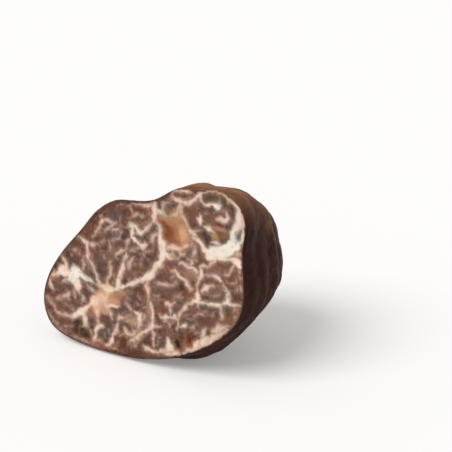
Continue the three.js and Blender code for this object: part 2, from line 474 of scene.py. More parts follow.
# %% Veins in the middle and round the hollow
VEINS |= {
    "upper middle": [
        ("cream", (0.2, 1.0), (-3.4, 8.3, 0.3), (-3.1, 7.8, 0.5), (-2.8, 7.2, 1.0), (-2.7, 6.5, 0.9)),
        ("cream", 1.0, (-2.7, 6.9, 0.8), (-2.9, 6.1, 0.8), (-2.9, 5.5, 1.0)),
        ("cream", 0.95, (-2.9, 5.4, 0.8), (-2.2, 5.0, 0.7), (-1.6, 4.7, 0.7), (-1.2, 4.3, 0.6),
         (-0.6, 4.2, 0.8), (-0.1, 4.7, 0.4)),
        ("cream", (0.95, 0.85), (-2.6, 7.2, 0.7), (-2.0, 7.0, 0.6), (-1.4, 6.6, 0.6), (-0.8, 6.5, 0.6),
         (-0.3, 6.9, 0.4)),
        ("blush", 0.65, (-2.9, 5.2, 0.5), (-3.4, 4.5, 0.45), (-3.6, 3.9), (-3.9, 3.2, 0.35),
         (-4.0, 2.7, 0.5)),
        ("pearl", 0.5, (-3.0, 2.9, 0.3), (-2.2, 3.4, 0.45), (-1.3, 3.9, 0.35)),
        ("cream", 0.8, (-4.0, 2.7, 0.4), (-4.6, 2.7, 0.35), (-5.3, 2.3, 0.4), (-5.7, 1.8),
         (-5.9, 1.2, 0.35)),
        ("blush", 0.95, (-4.0, 2.6, 0.4), (-3.8, 2.1, 0.6), (-4.1, 1.5, 0.45), (-4.2, 0.9, 0.45),
         (-4.4, 0.2, 0.6), (-4.6, -0.5, 0.6), (-4.8, -1.1, 0.75), (-5.0, -1.8, 0.9), (-5.1, -2.5, 0.8)),
        ("cream", 0.9, (-5.0, -2.1, 0.9), (-5.3, -3.0, 0.8), (-5.5, -4.0, 1.3)),
        ("straw", 0.75, (-6.7, 0.3, 0.3), (-6.9, -0.3, 0.4), (-7.0, -1.1, 0.35), (-7.0, -1.9, 0.35),
         (-7.2, -2.6, 0.5), (-7.5, -3.3, 0.7), (-7.5, -4.1, 0.9)),
        ("straw", 0.45, (-6.2, -1.6, 0.4), (-6.0, -2.5, 0.5), (-6.3, -3.4, 0.5)),
        ("pearl", 0.65, (-2.3, 2.0, 0.3), (-2.7, 1.5, 0.3), (-3.0, 1.0, 0.4), (-3.1, 0.5, 0.5),
         (-3.1, 0.0, 0.3)),
        ("pearl", 0.35, (-1.8, -0.6, 0.35), (-1.1, -0.2)),
        ("pearl", 0.45, (-0.3, 3.0, 0.35), (0.5, 3.6), (1.0, 3.9)),
        ("pearl", 0.5, (-0.9, 2.6, 0.4), (-0.9, 1.9), (-0.9, 1.2, 0.3)),
        ("straw", 0.3, (0.3, 2.8, 0.3), (0.7, 2.2)),
        ("pearl", 0.2, (-8.3, 1.8, 0.4), (-8.2, 0.9), (-8.3, 0.0)),
        ("pearl", 0.2, (-2.2, 0.6, 0.3), (-1.8, 1.4)),
        ("pearl", 0.2, (-3.8, -2.6, 0.3), (-2.9, -1.8)),
    ],
    "broad vein": [
        ("cream", 0.88, (-5.8, -4.1, 0.7), (-4.6, -3.6, 0.5), (-3.4, -3.0, 0.45), (-2.4, -2.4, 0.5),
         (-1.4, -1.9, 0.7), (-0.4, -1.5, 0.8), (0.4, -0.9, 0.9), (1.1, -0.2, 0.9), (1.7, 0.5, 0.85),
         (2.1, 1.3, 1.0), (2.7, 2.1, 1.1), (3.3, 3.0, 1.4), (3.6, 3.8, 1.7)),
        ("peach", (0.8, 1.0), (0.4, -1.2, 0.6), (0.5, -2.2, 0.5), (0.7, -3.0, 0.6), (0.8, -3.5, 0.4)),
        ("straw", 0.6, (0.9, -4.0, 0.4), (0.9, -4.9, 0.5)),
        ("cream", 0.85, (3.6, 4.2, 1.2), (4.4, 3.7, 0.9), (5.2, 3.3, 0.5)),
        ("straw", 0.45, (3.8, 3.0, 0.8), (3.4, 2.0, 0.7), (2.8, 1.2, 0.5)),
        ("pearl", 0.8, (3.6, 4.2, 1.0), (4.7, 4.0, 0.8)),
    ],
    "top stem": [
        ("blush", 0.9, (1.4, 12.3, 0.5), (1.5, 11.6, 0.7), (1.5, 10.8, 0.8), (1.6, 10.0, 0.8),
         (1.5, 9.3, 1.0), (1.4, 8.7, 1.1)),
        ("cream", 0.9, (1.6, 9.0, 0.7), (2.1, 8.4, 0.4), (2.3, 7.7, 0.4), (2.4, 7.0, 0.5),
         (2.6, 6.3, 0.7), (2.9, 5.5, 1.0), (3.3, 4.7, 1.3), (3.5, 3.9, 1.6)),
        ("cream", 0.85, (1.2, 8.8, 0.5), (0.6, 8.0, 0.35), (0.0, 7.3, 0.3), (-0.5, 6.7, 0.45)),
        ("pearl", 0.75, (2.1, 6.8, 0.35), (1.6, 6.4, 0.45), (1.3, 5.8, 0.7), (1.5, 5.2, 0.4)),
        ("blush", 0.7, (-3.0, 10.9, 0.3), (-1.8, 11.0, 0.35), (-0.6, 11.2, 0.4), (0.4, 11.3, 0.45),
         (1.4, 11.5)),
        ("blush", 0.45, (0.3, 10.6, 0.5), (0.5, 10.0, 0.4)),
        ("chalk", (1.0, 0.5), (2.0, 10.8, 0.5), (2.6, 10.4, 0.8), (3.2, 10.2, 0.45), (3.8, 10.1, 0.3)),
        ("pearl", (0.85, 0.6), (2.8, 10.8, 0.4), (2.9, 11.4, 0.3), (3.2, 12.0, 0.35), (3.7, 12.4),
         (4.1, 12.5, 0.3)),
        ("straw", 0.85, (4.2, 10.2, 0.4), (5.0, 10.5, 0.4), (5.5, 10.9, 0.4), (6.0, 11.5, 0.45),
         (6.3, 12.2, 0.6), (6.5, 13.0, 0.7)),
        ("blush", 0.85, (4.7, 13.7, 0.35), (5.4, 13.3, 0.5), (6.2, 13.1, 0.6), (7.0, 13.1, 0.5),
         (7.6, 13.0, 0.8)),
        ("blush", (0.75, 0.95), (7.0, 12.8, 0.6), (7.9, 13.0, 0.6), (8.6, 13.6, 0.5), (9.2, 14.1, 0.5),
         (9.8, 14.6, 0.6)),
        ("straw", 0.8, (6.5, 12.9, 0.7), (6.5, 12.1, 0.7), (6.6, 11.3, 0.7), (6.9, 10.5, 0.8),
         (7.3, 9.7, 0.8), (7.8, 9.0, 0.9)),
        ("straw", 0.85, (4.6, 14.1, 0.3), (5.5, 14.6, 0.45), (6.5, 14.9, 0.5), (7.6, 15.0, 0.45),
         (8.2, 14.9, 0.3)),
        ("straw", 0.3, (8.6, 12.8, 0.6), (9.4, 13.1, 0.9)),
    ],
    "hollow edge": [
        ("straw", 0.85, (3.8, 5.0, 0.6), (4.8, 5.0, 0.5), (6.0, 5.1, 0.5), (7.0, 5.4, 0.4),
         (7.9, 5.9, 0.35)),
        ("straw", 0.55, (8.2, 8.2, 0.6), (8.3, 7.2, 0.4)),
        ("pearl", 0.6, (6.3, 3.5, 0.35), (6.6, 4.2, 0.4), (6.5, 4.9, 0.4)),
        ("pearl", 0.5, (7.0, 5.0, 0.5), (7.6, 4.9)),
        ("cream", 0.5, (4.9, 4.5, 0.4), (5.2, 4.1)),
        ("straw", 0.6, (6.5, 4.6, 0.4), (7.1, 4.3, 0.6), (7.6, 4.6, 0.4)),
    ],
}
print(sum(len(strokes) for strokes in VEINS.values()), "strokes so far")

# %% [markdown]
# The top lobe is nearly a ball of its own, with a thick milky vein round its lower right. Below it the
# veins fork into a net that ends at the rind.

# %% Veins in the top lobe and on the right
VEINS |= {
    "top lobe": [
        ("cream", (0.95, 0.7), (7.9, 8.6, 0.45), (8.6, 8.4, 0.4), (9.4, 8.7, 0.35), (10.2, 9.0, 0.25)),
        ("peach", 0.85, (8.3, 8.2, 0.7), (9.0, 8.2, 0.8), (9.6, 7.9, 0.5)),
        ("cream", 0.9, (13.2, 5.3, 0.7), (14.3, 5.3, 0.8), (15.2, 5.4, 0.8), (16.0, 5.7, 0.4)),
        ("blush", 1.0, (10.2, 11.4, 0.4), (10.2, 10.8, 0.7), (10.3, 10.2, 0.4)),
        ("cream", (0.8, 1.0), (8.3, 7.7, 0.5), (9.2, 7.6, 0.5), (10.0, 7.3, 0.6), (10.7, 6.7, 0.7),
         (11.3, 6.1, 0.8), (12.2, 5.7, 1.2)),
        ("cream", 1.0, (11.4, 5.8, 0.9), (12.2, 5.4, 1.4), (13.0, 5.1, 1.0)),
        ("chalk", 0.94, (11.9, 5.9, 1.1), (13.0, 6.1, 1.7), (14.2, 6.3, 1.9), (15.3, 6.8, 2.0),
         (16.0, 7.7, 1.7), (16.2, 8.7, 1.2), (16.2, 9.6, 0.9), (16.5, 10.3, 0.9)),
        ("pearl", (1.0, 0.85), (16.3, 9.9, 0.9), (16.8, 10.8, 1.2), (17.1, 11.6, 1.4), (17.2, 12.4, 1.3),
         (17.2, 13.2, 0.9), (16.9, 13.9, 0.6)),
        ("cream", 0.9, (12.9, 5.2, 0.9), (13.1, 4.7, 0.4)),
        ("straw", 0.75, (16.4, 6.5, 0.5), (17.1, 6.5, 0.8), (17.8, 6.7, 0.6)),
        ("pearl", 0.85, (12.4, 7.5, 0.7), (13.2, 7.5, 0.8), (14.0, 7.3, 0.6)),
        ("chalk", 1.0, (16.4, 7.2, 1.0), (17.0, 7.9, 0.9), (17.3, 8.6, 0.6)),
        ("blush", 0.8, (9.8, 14.4, 0.8), (10.2, 15.0, 0.6), (10.8, 15.3, 0.4)),
        ("cream", (0.7, 1.0), (10.1, 14.6, 0.5), (10.3, 13.9, 0.4), (10.9, 13.5, 0.35),
         (11.8, 13.6, 0.4), (12.6, 13.8, 0.5)),
        ("chalk", 1.0, (12.5, 13.8, 0.5), (13.1, 13.6, 1.0), (13.4, 13.1, 0.7)),
        ("pearl", 0.6, (13.2, 13.9, 0.4), (13.5, 14.5, 0.35), (13.7, 15.0, 0.3)),
        ("pearl", 0.6, (14.8, 15.3, 0.3), (14.9, 14.6, 0.3)),
        ("chalk", 0.95, (17.9, 9.9, 0.5), (17.9, 9.2, 0.6), (17.6, 8.6, 0.4)),
        ("blush", 0.9, (14.8, 13.0, 0.3), (14.8, 12.5, 0.35), (15.0, 12.0, 0.7), (14.6, 11.6, 0.7),
         (13.9, 11.6, 0.5), (13.1, 11.5, 0.4)),
        ("cream", 0.95, (10.8, 9.8, 0.3), (11.5, 9.8, 0.4), (12.2, 9.5, 0.6), (12.8, 9.2, 0.4)),
        ("pearl", 0.3, (11.0, 12.0, 0.3), (12.0, 12.0), (12.6, 12.3)),
        ("straw", 0.3, (12.7, 8.6, 0.5), (12.6, 8.0)),
    ],
    "right top": [
        ("blush", 1.0, (16.2, 5.6, 0.8), (17.0, 5.4, 1.2), (17.6, 4.9, 1.0), (17.9, 4.3, 0.5)),
        ("pearl", 0.35, (17.9, 4.3, 0.4), (18.2, 3.4), (18.2, 2.6), (18.0, 1.8)),
        ("blush", (0.9, 0.45), (16.9, 5.1, 0.6), (16.4, 4.2, 0.45), (15.9, 3.4, 0.35), (15.2, 2.9),
         (14.5, 2.6, 0.3)),
        ("straw", 0.5, (17.6, 2.8, 0.5), (17.1, 2.0), (16.4, 1.7), (15.7, 1.6)),
        ("straw", 0.35, (17.3, 2.0, 0.6), (17.3, 1.0, 0.7), (17.0, 0.2, 0.4)),
        ("blush", 0.65, (13.0, 4.6, 0.4), (12.5, 4.0, 0.4), (12.1, 3.5), (11.5, 3.3), (10.9, 3.2),
         (10.5, 2.9)),
        ("blush", 0.9, (10.4, 3.0, 0.35), (10.6, 2.4, 0.45), (10.8, 1.8, 0.7), (10.6, 1.2, 0.6),
         (10.3, 0.6, 0.4), (10.1, 0.0, 0.3), (10.1, -1.0, 0.3)),
        ("blush", (0.55, 0.95), (11.2, 2.1, 0.4), (12.3, 2.3), (13.2, 2.4, 0.6), (13.9, 2.1, 0.6),
         (14.4, 1.6, 0.8)),
        ("cream", 0.8, (6.5, 2.9, 0.35), (7.2, 3.1), (7.9, 2.9), (8.6, 2.6, 0.5), (9.4, 2.6),
         (9.9, 2.2, 0.35)),
        ("cream", 0.55, (8.8, 2.8, 0.45), (8.8, 3.6), (8.9, 4.5, 0.35)),
        ("pearl", 0.6, (8.0, 4.1, 0.4), (8.8, 3.9), (9.6, 4.2)),
        ("pearl", 0.55, (9.1, 4.6, 0.4), (9.4, 5.4, 0.4), (9.2, 6.2, 0.35)),
        ("pearl", 0.4, (8.4, 6.2, 0.5), (8.8, 6.6, 0.4)),
    ],
    "right middle": [
        ("blush", (0.5, 1.0), (5.2, 1.5, 0.35), (5.9, 1.4, 0.5), (6.4, 0.9, 0.9)),
        ("blush", 0.95, (6.1, 1.2, 0.5), (6.6, 0.7, 0.5), (7.3, 0.4, 0.4), (8.0, 0.1, 0.4),
         (8.5, -0.4, 0.5), (8.8, -1.0, 0.35)),
        ("pearl", 0.35, (5.1, 0.2, 0.4), (5.6, 0.7)),
        ("blush", (0.7, 0.95), (13.1, 0.6, 0.35), (12.4, 0.4, 0.4), (11.8, -0.1, 0.7),
         (11.3, -0.7, 0.5)),
        ("cream", 0.95, (14.9, 1.1, 0.3), (15.3, 0.6, 0.4), (15.9, 0.1, 0.5), (15.9, -0.6, 0.4),
         (15.8, -1.5, 0.45)),
        ("cream", 0.85, (18.1, -1.5, 0.3), (17.2, -1.8, 0.4), (16.4, -1.8, 0.45), (15.7, -1.6, 0.55),
         (15.0, -2.0, 0.55), (14.2, -2.4, 0.7), (13.4, -2.5, 0.5), (12.4, -2.6, 0.45),
         (11.6, -2.6, 0.4)),
        ("cream", 0.85, (12.0, -2.6, 0.35), (11.3, -2.7, 0.4), (10.5, -2.8, 0.45)),
        ("blush", 0.95, (10.1, -1.0, 0.5), (10.1, -1.8, 0.8), (10.2, -2.6, 1.1), (9.6, -2.9, 0.8),
         (9.1, -3.4, 0.5)),
        ("blush", 0.75, (8.5, -3.4, 0.5), (8.1, -3.9, 0.7), (7.6, -4.6, 0.55), (7.2, -5.3, 0.5),
         (6.9, -6.1, 0.5)),
        ("cream", 0.7, (9.2, -3.3, 0.5), (8.5, -3.6, 0.6)),
        ("cream", 0.6, (10.3, -2.9, 0.6), (10.5, -3.5, 0.35)),
        ("cream", (0.85, 0.5), (14.6, -2.6, 0.7), (14.8, -3.3, 0.5), (15.0, -4.0, 0.5),
         (15.0, -4.5, 0.4)),
        ("straw", 0.3, (17.2, -2.3, 0.4), (17.0, -3.1), (16.6, -3.9)),
        ("blush", 0.6, (10.2, -5.0, 0.35), (10.8, -4.7, 0.4), (11.4, -4.6, 0.3)),
        ("blush", 0.35, (13.2, -4.4, 0.4), (12.5, -4.9)),
        ("pearl", 0.3, (6.0, -3.1, 0.3), (7.0, -2.9), (8.0, -2.6), (8.7, -2.5)),
        ("pearl", 0.25, (12.0, -1.2, 0.3), (13.2, -1.1), (14.3, -0.7)),
        ("pearl", 0.25, (11.6, -3.9, 0.3), (12.8, -3.8), (13.8, -3.5)),
    ],
    "lower right": [
        ("pearl", 0.6, (9.2, -7.5, 0.4), (9.7, -7.0, 0.5), (10.2, -6.4, 0.4)),
        ("cream", 0.9, (7.0, -7.8, 0.4), (7.6, -7.7, 0.5), (8.1, -7.4, 0.6), (8.4, -7.0, 0.4)),
        ("pearl", 0.8, (12.2, -7.0, 0.5), (11.8, -7.6, 0.7), (11.4, -8.3, 0.7), (11.4, -8.9, 0.6)),
        ("pearl", 0.45, (10.2, -7.9, 0.4), (10.9, -7.8)),
        ("blush", 0.75, (16.3, -5.5, 0.6), (15.4, -5.9, 1.0), (14.6, -6.2, 1.3), (13.9, -6.7, 1.1),
         (13.2, -7.0, 0.6)),
        ("cream", 1.0, (14.2, -6.5, 0.8), (13.5, -6.9, 0.7)),
        ("straw", 0.85, (15.9, -6.4, 0.6), (14.9, -7.0, 0.8), (13.8, -7.7, 1.0), (13.0, -8.4, 1.2)),
        ("cream", 0.8, (13.3, -8.2, 1.2), (12.5, -8.9, 1.5), (11.7, -9.4, 1.3), (11.0, -9.9, 0.8)),
        ("peach", 1.0, (10.8, -9.4, 0.9), (10.4, -9.9, 1.1), (10.0, -10.5, 0.9)),
        ("straw", (0.85, 0.55), (10.6, -10.4, 0.7), (9.8, -11.0, 0.7), (8.9, -11.5, 0.8),
         (8.0, -11.9, 0.6)),
        ("cream", 0.9, (4.8, -10.2, 0.8), (5.0, -11.1, 1.1), (5.4, -11.7, 1.4), (6.0, -12.1, 0.9)),
        ("chalk", 0.8, (5.3, -11.1, 0.6), (5.8, -11.6, 0.7)),
        ("straw", 0.9, (7.4, -12.3, 0.5), (6.8, -12.4, 0.8), (5.6, -12.8, 0.7), (4.6, -13.0, 0.6)),
        ("blush", 0.8, (5.2, -12.2, 0.8), (4.5, -12.6, 0.6), (3.8, -13.0, 0.7), (3.1, -13.3, 0.6)),
        ("blush", 0.8, (2.0, -8.9, 0.5), (2.8, -8.8, 0.4), (3.6, -8.5, 0.3)),
        ("straw", 0.25, (2.0, -9.5, 0.6), (3.2, -9.6), (4.3, -9.8), (5.0, -10.1)),
        ("blush", 0.65, (1.7, -9.4, 0.6), (2.1, -10.3, 0.45), (2.2, -11.3, 0.4), (2.1, -12.4, 0.45)),
        ("pearl", 0.35, (3.4, -10.4, 0.4), (3.1, -11.4), (2.8, -12.0)),
        ("blush", 0.85, (0.0, -12.9, 0.4), (0.7, -13.1, 0.6), (1.6, -13.1, 0.45), (2.4, -13.2),
         (3.1, -13.4, 0.6)),
        ("blush", 0.8, (4.2, -4.6, 0.4), (4.8, -4.5, 0.5), (5.5, -4.3, 0.5), (5.8, -3.9, 0.3)),
        ("blush", 0.9, (5.1, -4.6, 0.45), (5.15, -5.4, 0.35), (5.15, -6.4, 0.3)),
        ("cream", 0.85, (3.2, -6.9, 0.35), (4.2, -6.9, 0.4), (5.2, -6.7, 0.4), (6.1, -6.3, 0.7),
         (6.7, -6.6, 0.7)),
        ("blush", 0.9, (6.7, -6.6, 0.6), (6.8, -7.4, 0.45), (6.7, -8.2, 0.35)),
        ("straw", 0.6, (5.0, -6.9, 0.3), (5.0, -7.7), (5.1, -8.4, 0.35)),
        ("straw", 0.4, (3.4, -7.4, 0.5), (4.4, -7.3), (5.6, -7.2, 0.4)),
        ("straw", 0.5, (2.9, -6.7, 0.4), (3.6, -6.5)),
        ("blush", 0.6, (1.8, -1.6, 0.25), (3.0, -1.5, 0.3), (4.2, -1.3, 0.28), (5.4, -0.9),
         (6.4, -0.2, 0.25)),
        ("pearl", 0.45, (2.1, -3.6, 0.4), (2.8, -3.5)),
        ("pearl", 0.35, (5.6, -3.0, 0.25), (6.3, -2.8), (7.0, -2.6)),
        ("pearl", 0.25, (8.0, -5.6, 0.3), (9.0, -5.0), (9.8, -5.2)),
        ("pearl", 0.25, (8.6, -6.2, 0.3), (9.4, -5.9)),
    ],
}
print(sum(len(strokes) for strokes in VEINS.values()), "strokes so far")

# %% [markdown]
# Short veins stand side by side along the bottom, like roots, and thin out into the hair veins.

# %% Veins along the bottom and at the lower left
VEINS |= {
    "lower left": [
        ("blush", 0.75, (-19.6, -5.8, 0.6), (-19.4, -6.5, 0.8), (-19.0, -7.2, 0.6)),
        ("blush", (0.9, 0.5), (-15.4, -6.8, 0.4), (-15.6, -7.5, 0.6), (-16.1, -8.0, 0.6),
         (-17.0, -8.3, 0.5), (-17.8, -8.6, 0.4), (-18.4, -8.9, 0.3)),
        ("pearl", (0.6, 0.45), (-20.0, -8.7, 0.5), (-19.5, -9.4, 0.45), (-18.9, -10.1, 0.4),
         (-18.3, -10.9, 0.5)),
        ("blush", (0.55, 0.7), (-18.2, -11.1, 0.7), (-17.2, -11.3, 0.7), (-16.2, -11.4, 0.6),
         (-15.2, -11.3, 0.5), (-14.4, -10.9, 0.7)),
        ("cream", 0.92, (-14.8, -11.1, 0.5), (-14.0, -10.7, 1.1), (-13.3, -10.3, 1.3),
         (-12.4, -9.8, 0.9), (-11.7, -8.9, 0.5), (-11.0, -8.1, 0.8)),
        ("peach", 1.0, (-11.3, -8.2, 0.7), (-10.6, -7.5, 1.1), (-10.1, -7.0, 1.3)),
        ("pearl", 0.45, (-17.9, -11.3, 0.5), (-17.6, -12.0)),
        ("cream", (0.95, 0.6), (-12.6, -9.9, 1.1), (-12.1, -10.8, 0.9), (-12.0, -11.8, 0.9),
         (-11.7, -12.8, 0.6)),
        ("straw", 0.5, (-11.9, -12.4, 0.6), (-11.1, -12.9), (-10.6, -13.3)),
        ("pearl", 0.3, (-15.2, -9.2, 0.5), (-14.6, -9.9, 0.5), (-14.0, -10.2)),
        ("straw", 0.35, (-13.0, -14.7, 0.5), (-12.2, -15.0), (-11.0, -15.1)),
        ("pearl", 0.35, (-16.3, -13.4, 0.3), (-15.6, -13.2), (-14.9, -12.8)),
        ("straw", 0.25, (-19.3, -12.2, 0.7), (-18.6, -13.0), (-17.6, -13.7)),
        ("pearl", 0.2, (-18.6, -6.4, 0.4), (-17.8, -7.0)),
        ("pearl", 0.25, (-17.4, -9.5, 0.3), (-16.4, -9.3), (-15.4, -9.5)),
        ("pearl", 0.25, (-17.4, -5.6, 0.3), (-16.6, -6.4), (-15.8, -6.8)),
    ],
    "bottom left": [
        ("peach", 0.6, (-9.5, -8.8, 0.9), (-9.4, -9.6, 0.8), (-9.4, -10.5, 0.6), (-9.2, -11.2, 0.8)),
        ("blush", 0.95, (-8.3, -11.2, 0.6), (-8.9, -11.4, 0.8), (-9.2, -12.1, 0.5), (-9.5, -12.9, 0.45),
         (-9.8, -13.7, 0.5), (-10.1, -14.5, 0.7)),
        ("blush", 0.4, (-10.8, -10.5, 0.3), (-10.0, -10.2)),
        ("blush", (0.6, 0.85), (-5.1, -10.0, 0.4), (-5.3, -10.8, 0.55), (-5.4, -11.5, 0.6),
         (-5.8, -12.2, 0.5), (-6.1, -12.9, 0.6)),
        ("cream", 0.85, (-6.0, -12.8, 0.7), (-6.3, -13.5, 1.0), (-6.7, -14.2, 0.8), (-7.4, -14.6, 0.5)),
        ("blush", 0.85, (-5.2, -9.6, 0.5), (-4.9, -9.1, 0.6), (-4.2, -8.9, 0.5)),
        ("straw", 0.7, (-8.4, -13.9, 0.4), (-9.4, -14.2, 0.5), (-10.2, -14.8)),
        ("straw", 0.5, (-6.6, -14.4, 0.4), (-6.0, -14.8)),
        ("pearl", 0.5, (-5.7, -13.8, 0.35), (-5.0, -13.4, 0.3)),
        ("blush", 0.75, (-3.9, -10.4, 0.5), (-3.7, -11.1, 0.45), (-3.1, -11.5, 0.5), (-2.3, -11.5, 0.4),
         (-1.7, -11.0, 0.5), (-1.9, -10.4, 0.4)),
        ("pearl", 0.6, (-7.0, -8.0, 0.8), (-6.7, -8.8, 0.7), (-6.4, -9.6, 0.5)),
        ("pearl", 0.4, (-2.9, -7.0, 0.35), (-2.8, -8.0, 0.4)),
        ("straw", 0.45, (-1.0, -12.3, 0.4), (-1.6, -13.2), (-2.2, -13.7)),
        ("straw", 0.45, (-3.4, -12.0, 0.35), (-4.0, -11.8), (-4.6, -12.1)),
        ("pearl", 0.3, (-8.2, -12.6, 0.3), (-7.6, -13.2)),
    ],
    "bottom stem": [
        ("straw", (0.5, 0.85), (-3.2, -13.0, 0.5), (-2.3, -12.5, 0.9), (-1.4, -11.9, 1.0),
         (-0.7, -11.2, 0.9), (0.0, -10.4, 0.8)),
        ("blush", 0.9, (-0.1, -10.5, 0.6), (0.6, -9.9, 0.6), (1.3, -9.3, 0.9), (1.7, -8.8, 0.8),
         (1.85, -8.1, 0.5)),
        ("blush", 0.9, (1.85, -8.3, 0.5), (1.8, -7.3, 0.35), (1.7, -6.5, 0.35), (1.5, -5.6, 0.3),
         (1.2, -4.9, 0.35)),
        ("cream", (0.95, 0.7), (-0.5, -7.6, 0.6), (-0.8, -8.3, 1.0), (-0.9, -9.1, 1.0),
         (-1.0, -9.9, 0.6)),
        ("cream", 0.85, (-0.5, -7.7, 0.5), (-1.2, -7.6, 0.6), (-1.9, -7.5, 0.5)),
        ("cream", 0.3, (-1.0, -7.1, 0.4), (0.0, -7.2)),
        ("straw", 0.5, (-0.2, -8.4, 0.45), (0.3, -8.0), (0.2, -7.4)),
        ("straw", 0.45, (-3.5, -8.5, 0.5), (-2.6, -8.3, 0.5), (-1.8, -8.5, 0.4)),
        ("straw", 0.5, (-3.2, -9.3, 0.4), (-2.2, -9.1, 0.5), (-1.5, -9.7)),
        ("blush", 0.5, (-2.2, -8.4, 0.4), (-2.2, -9.6), (-1.8, -10.4)),
        ("pearl", 0.6, (-2.4, -7.6, 0.4), (-2.7, -6.8, 0.5), (-3.2, -6.4), (-3.6, -6.1, 0.3)),
        ("blush", 0.5, (-1.1, -4.6, 0.4), (-0.5, -5.0)),
        ("pearl", 0.25, (-3.5, -5.3, 0.35), (-2.8, -5.2)),
        ("pearl", 0.35, (-0.2, -6.2, 0.4), (0.4, -5.8)),
        ("straw", 0.55, (-1.4, -10.6, 0.5), (-0.8, -10.3)),
        ("pearl", 0.25, (-1.6, -6.2, 0.3), (-1.0, -5.7)),
        ("pearl", 0.25, (2.6, -5.4, 0.3), (3.4, -5.2)),
    ],
}
print(sum(len(strokes) for strokes in VEINS.values()), "strokes in all")

# %% [markdown]
# Just inside the rind a pale line follows the knife's edge for part of the way. It is drawn as
# strokes too, but their points come from the outline itself: from one direction round to another, in
# degrees anticlockwise from the right, so far inside the edge, and so wide. Along the very edge the
# rind shows in section as a brown line, given as a width in each direction. It is thickest at the
# upper left and along the bottom.

# %% Lines along the edge
EDGE_LINES = [
    ("straw", 0.80, 43, 58, 0.32, 0.32),
    ("cream", 0.90, 34, 46, 0.32, 0.42),
    ("cream", 0.85, 26, 36, 0.35, 0.40),
    ("blush", 0.45, 2, 16, 0.45, 0.35),
    ("blush", 0.30, -20, -4, 0.50, 0.35),
    ("straw", 0.70, -38, -20, 0.30, 0.40),
    ("cream", 0.75, -58, -38, 0.30, 0.40),
    ("blush", 0.45, 84, 106, 0.55, 0.30),
    ("pearl", 0.25, -160, -122, 0.80, 0.40),
]
SECTION_LINE = [
    (-180, 0.20), (-165, 0.25), (-145, 0.15), (-125, 0.20), (-110, 0.60), (-90, 0.60), (-75, 0.25),
    (-60, 0.10), (-20, 0.08), (40, 0.08), (60, 0.20), (85, 0.30), (105, 0.45), (120, 0.75), (140, 0.80),
    (155, 0.55), (168, 0.30), (180, 0.20),
]
print("the rind in section is up to", max(width for _, width in SECTION_LINE), "mm wide")

# %% [markdown]
# ## Stains
# Between the veins the flesh is not one brown. Some cells lean to maroon, to olive or to grey, the
# knot of the thickest veins is peach, the hollow is tan, and a few spots are rusty or nearly black.
# Each is a soft oval dab: colour, strength, middle, and its long and short radii with a lean in
# degrees. Later dabs lie over earlier ones.

# %% Stains on the left
STAINS = [
    ((58, 46, 36), 0.7, (-18.3, -2.5), (1.1, 0.5, 60)),
    ((70, 56, 46), 0.7, (-17.3, -2.0), (0.6, 0.4, 20)),
    ((84, 66, 64), 0.7, (-14.6, -0.8), (1.3, 0.9, 0)),
    ((78, 46, 42), 0.7, (-16.0, -0.3), (1.1, 0.5, 50)),
    ((80, 66, 56), 0.6, (-14.8, 1.6), (1.6, 0.8, 45)),
    ((90, 68, 40), 0.75, (-12.7, 1.4), (0.9, 0.4, 80)),
    ((100, 72, 54), 0.5, (-12.2, 3.4), (0.9, 0.5, 20)),
    ((88, 74, 72), 0.6, (-10.8, -3.0), (1.1, 0.5, -45)),
    ((120, 96, 92), 0.4, (-9.4, 0.5), (1.2, 1.2, 0)),
    ((140, 120, 100), 0.4, (-11.8, -1.9), (1.0, 0.6, 90)),
    ((98, 70, 66), 0.5, (-8.6, -2.9), (0.9, 0.5, 90)),
    ((84, 72, 54), 0.8, (-9.6, -4.8), (0.8, 0.35, -5)),
    ((90, 56, 36), 0.75, (-10.4, 6.2), (1.2, 0.5, 55)),
    ((88, 76, 82), 0.8, (-5.8, 8.3), (1.6, 1.0, 15)),
    ((102, 62, 48), 0.6, (-7.8, 8.2), (1.2, 0.7, 40)),
    ((82, 50, 36), 0.7, (-6.6, 9.8), (1.3, 0.4, 32)),
    ((100, 62, 56), 0.5, (-4.1, 8.0), (0.9, 0.6, 90)),
    ((104, 52, 34), 0.85, (-1.2, 10.4), (2.0, 0.55, 6)),
    ((96, 62, 50), 0.6, (-4.0, 9.9), (1.0, 0.4, 5)),
    ((92, 80, 68), 0.5, (-7.0, 4.9), (1.6, 0.6, 0)),
    ((118, 98, 80), 0.5, (-7.4, 1.2), (1.4, 1.0, 0)),
    ((94, 72, 62), 0.5, (-5.4, 3.7), (1.0, 0.5, 30)),
    ((98, 62, 48), 0.65, (-2.6, 4.1), (0.8, 0.4, 60)),
    ((72, 58, 50), 0.6, (-2.4, 2.6), (0.5, 0.3, 0)),
    ((84, 68, 58), 0.7, (-5.0, 1.6), (0.6, 0.4, 70)),
    ((98, 86, 80), 0.55, (-3.0, -0.9), (1.2, 0.7, 20)),
    ((112, 88, 74), 0.5, (-1.7, 0.6), (1.2, 0.8, 80)),
    ((60, 46, 40), 0.75, (-4.1, -2.5), (0.6, 0.4, 60)),
    ((104, 76, 54), 0.6, (-6.0, -0.8), (1.2, 0.4, 75)),
    ((82, 60, 40), 0.75, (-1.2, -3.0), (1.4, 0.5, 30)),
]
print(len(STAINS), "stains so far")

# %% [markdown]
# The cells round the stems and in the top lobe are greyish and rather dark, with a red streak and a
# pale one across the lobe.

